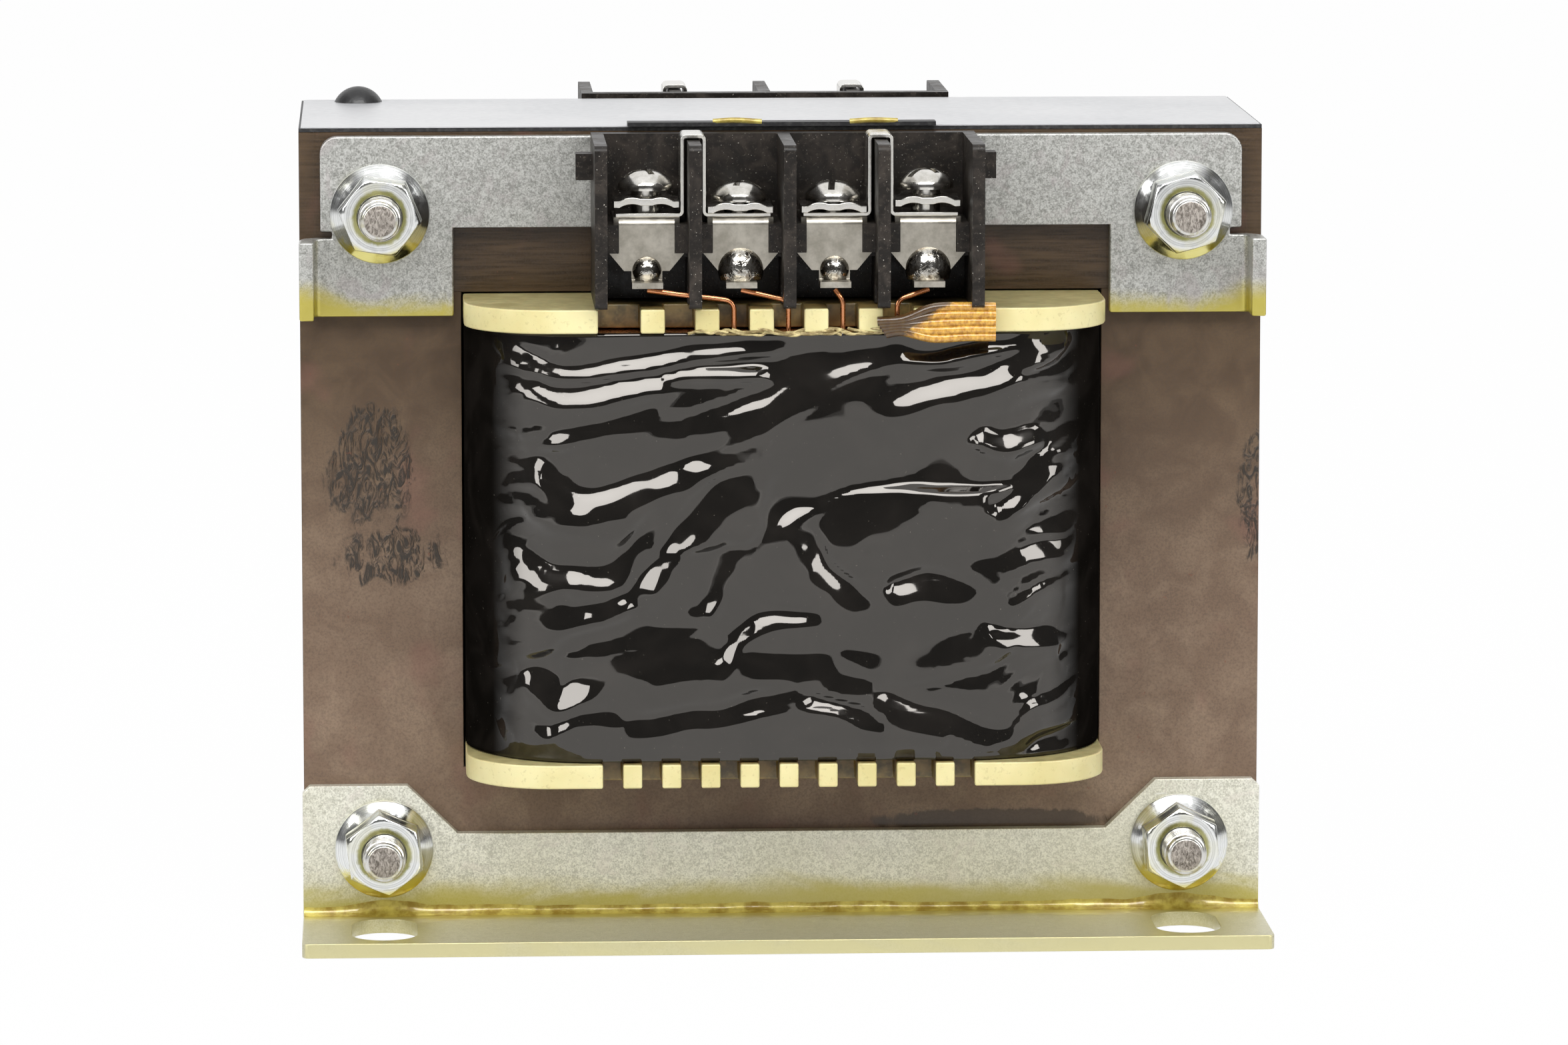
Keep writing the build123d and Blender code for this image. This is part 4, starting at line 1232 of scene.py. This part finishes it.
def varnishFillet(name, side):
    # A bead along the fold with a hollow face, thicker below each nut
    low, high = (np.array(corner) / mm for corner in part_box("front_foot" if side < 0 else "rear_foot"))
    face = side * varnish["face"]
    ledge = varnish["ledge"]
    margin = varnish["margin"]
    x = np.linspace(low[0] + margin, high[0] - margin, varnish["columns"])
    size = varnish["usual"]
    for rise, length, shift in varnish["waves"]:
        size = size + rise * softNoise(x / length, np.full_like(x, 0.3), varnish["seed"] + (side > 0) + shift)
    size = np.maximum(size, varnish["smallest"])
    for centre in sorted({place[0] for place in nutCentres}):
        size = size + varnish["under"] * np.exp(-((x - centre) / varnish["spread"]) ** 2)
    outline = []
    for turn in np.linspace(0, math.pi / 2, varnish["rows"]):
        outline.append((face + side * size * (1 - math.cos(turn)), ledge + size * (1 - math.sin(turn))))
    # The back of the bead lies inside the sheet
    back = np.full_like(x, face - side * varnish["inset"])
    under = np.full_like(x, ledge - varnish["inset"])
    outline += [(face + side * size, under), (back, under), (back, ledge + size)]
    rings = [np.stack([x, y, z], axis=-1) for y, z in outline]
    return bandMesh(name, rings)


def bandMesh(name, rings):
    # Closed band from rings of points, with its two ends capped
    count, columns = len(rings), len(rings[0])
    points = np.concatenate(rings)
    faces = []
    for ring in range(count):
        following = (ring + 1) % count
        for column in range(columns - 1):
            a, b = ring * columns + column, following * columns + column
            faces.append((a, a + 1, b + 1, b))
    faces.append([ring * columns for ring in range(count)])
    faces.append([ring * columns + columns - 1 for ring in reversed(range(count))])
    mesh = plainMesh(name, points.tolist(), faces=faces)
    shape = bmesh.new()
    shape.from_mesh(mesh)
    return closeShape(shape, mesh, 50)


for name, side in (("frontVarnish", -1), ("rearVarnish", 1)):
    addPiece(name, varnishFillet(name, side), looks["amberVarnish"])
print("varnish made")

# Floor, world and lamps

studio = {
    "floorHalf": 6.0,
    "floorDrop": 0.0002,
    "ambient": 0.27,
    "white": 1.0,
    "dark": 0.10,
    "cameraShare": 0.985,
    "mirrorShare": 0.92,
    "mirrorEnd": 0.15,
    "sheet": (0.20, 0.36),
    # how far to the back and how high the dark room reaches
    "darkBack": (0.15, 0.60),
    "darkHigh": (0.62, 0.97),
    "target": (0, 0, 0.06),
}
lamps = {
    "leftBox": {"place": (-1.0, -0.80, 0.62), "size": (0.50, 0.62), "watts": 6.5},
    "rightBox": {"place": (1.0, -0.80, 0.58), "size": (0.40, 0.62), "watts": 5.5},
    "topBox": {"place": (0.0, -0.76, 1.00), "size": (1.1, 0.45), "watts": 12.0},
}


def addFloor():
    mesh = bpy.data.meshes.new("floor")
    half = studio["floorHalf"]
    points = [(-half, -half, 0), (half, -half, 0), (half, half, 0), (-half, half, 0)]
    mesh.from_pydata(points, [], [(0, 1, 2, 3)])
    floor = newObject("floor", mesh)
    floor.location.z = -studio["floorDrop"]
    material = bpy.data.materials.new("paleFloor")
    material.use_nodes = True
    tools = Tree(material.node_tree)
    shader = tools.tree.nodes["Principled BSDF"]
    tools.feed(shader.inputs["Base Color"], (0.80, 0.80, 0.80))
    tools.feed(shader.inputs["Roughness"], 0.9)
    glow = tools.made("ShaderNodeEmission", {"Strength": 1.0})
    # Mirror-like surfaces see a white sheet that ends on both sides
    x = tools.parts(tools.add("ShaderNodeTexCoord").outputs["Object"])[0]
    sheet = tools.span(abs(x), *studio["sheet"], studio["mirrorShare"], studio["mirrorEnd"])
    camera, mirror = tools.rays()
    share = tools.larger(camera * studio["cameraShare"], mirror * sheet)
    mix = tools.made("ShaderNodeMixShader", {0: share, 1: shader.outputs[0], 2: glow})
    tools.feed(tools.tree.nodes["Material Output"].inputs["Surface"], mix)
    mesh.materials.append(material)


def addWorld():
    # Diffuse light is even; mirror-like surfaces see white walls at the back, a pale ceiling high up
    # and a dark room in front and at the sides
    world = bpy.data.worlds.new("studio")
    bpy.context.scene.world = world
    world.use_nodes = True
    tools = Tree(world.node_tree)
    _, y, z = tools.parts(tools.add("ShaderNodeTexCoord").outputs["Generated"])
    front = tools.fall(y, *studio["darkBack"])
    level = tools.fall(z, *studio["darkHigh"])
    walls = tools.span(front * level, 0.0, 1.0, studio["white"], studio["dark"])
    camera, mirror = tools.rays()
    strength = mirror * walls + camera + (1.0 - tools.larger(mirror, camera)) * studio["ambient"]
    background = tools.tree.nodes["Background"]
    tools.feed(background.inputs["Strength"], strength)
    tools.feed(background.inputs["Color"], (1, 1, 1))


def addLamp(name, place, size, watts):
    data = bpy.data.lights.new(name, "AREA")
    data.shape = "RECTANGLE"
    data.size, data.size_y = size
    data.energy = watts
    lamp = newObject(name, data)
    lamp.location = place
    aim = Vector(studio["target"]) - Vector(place)
    lamp.rotation_euler = aim.to_track_quat("-Z", "Y").to_euler()


addFloor()
addWorld()
for name, values in lamps.items():
    addLamp(name, **values)

bpy.context.scene.view_settings.view_transform = "Standard"
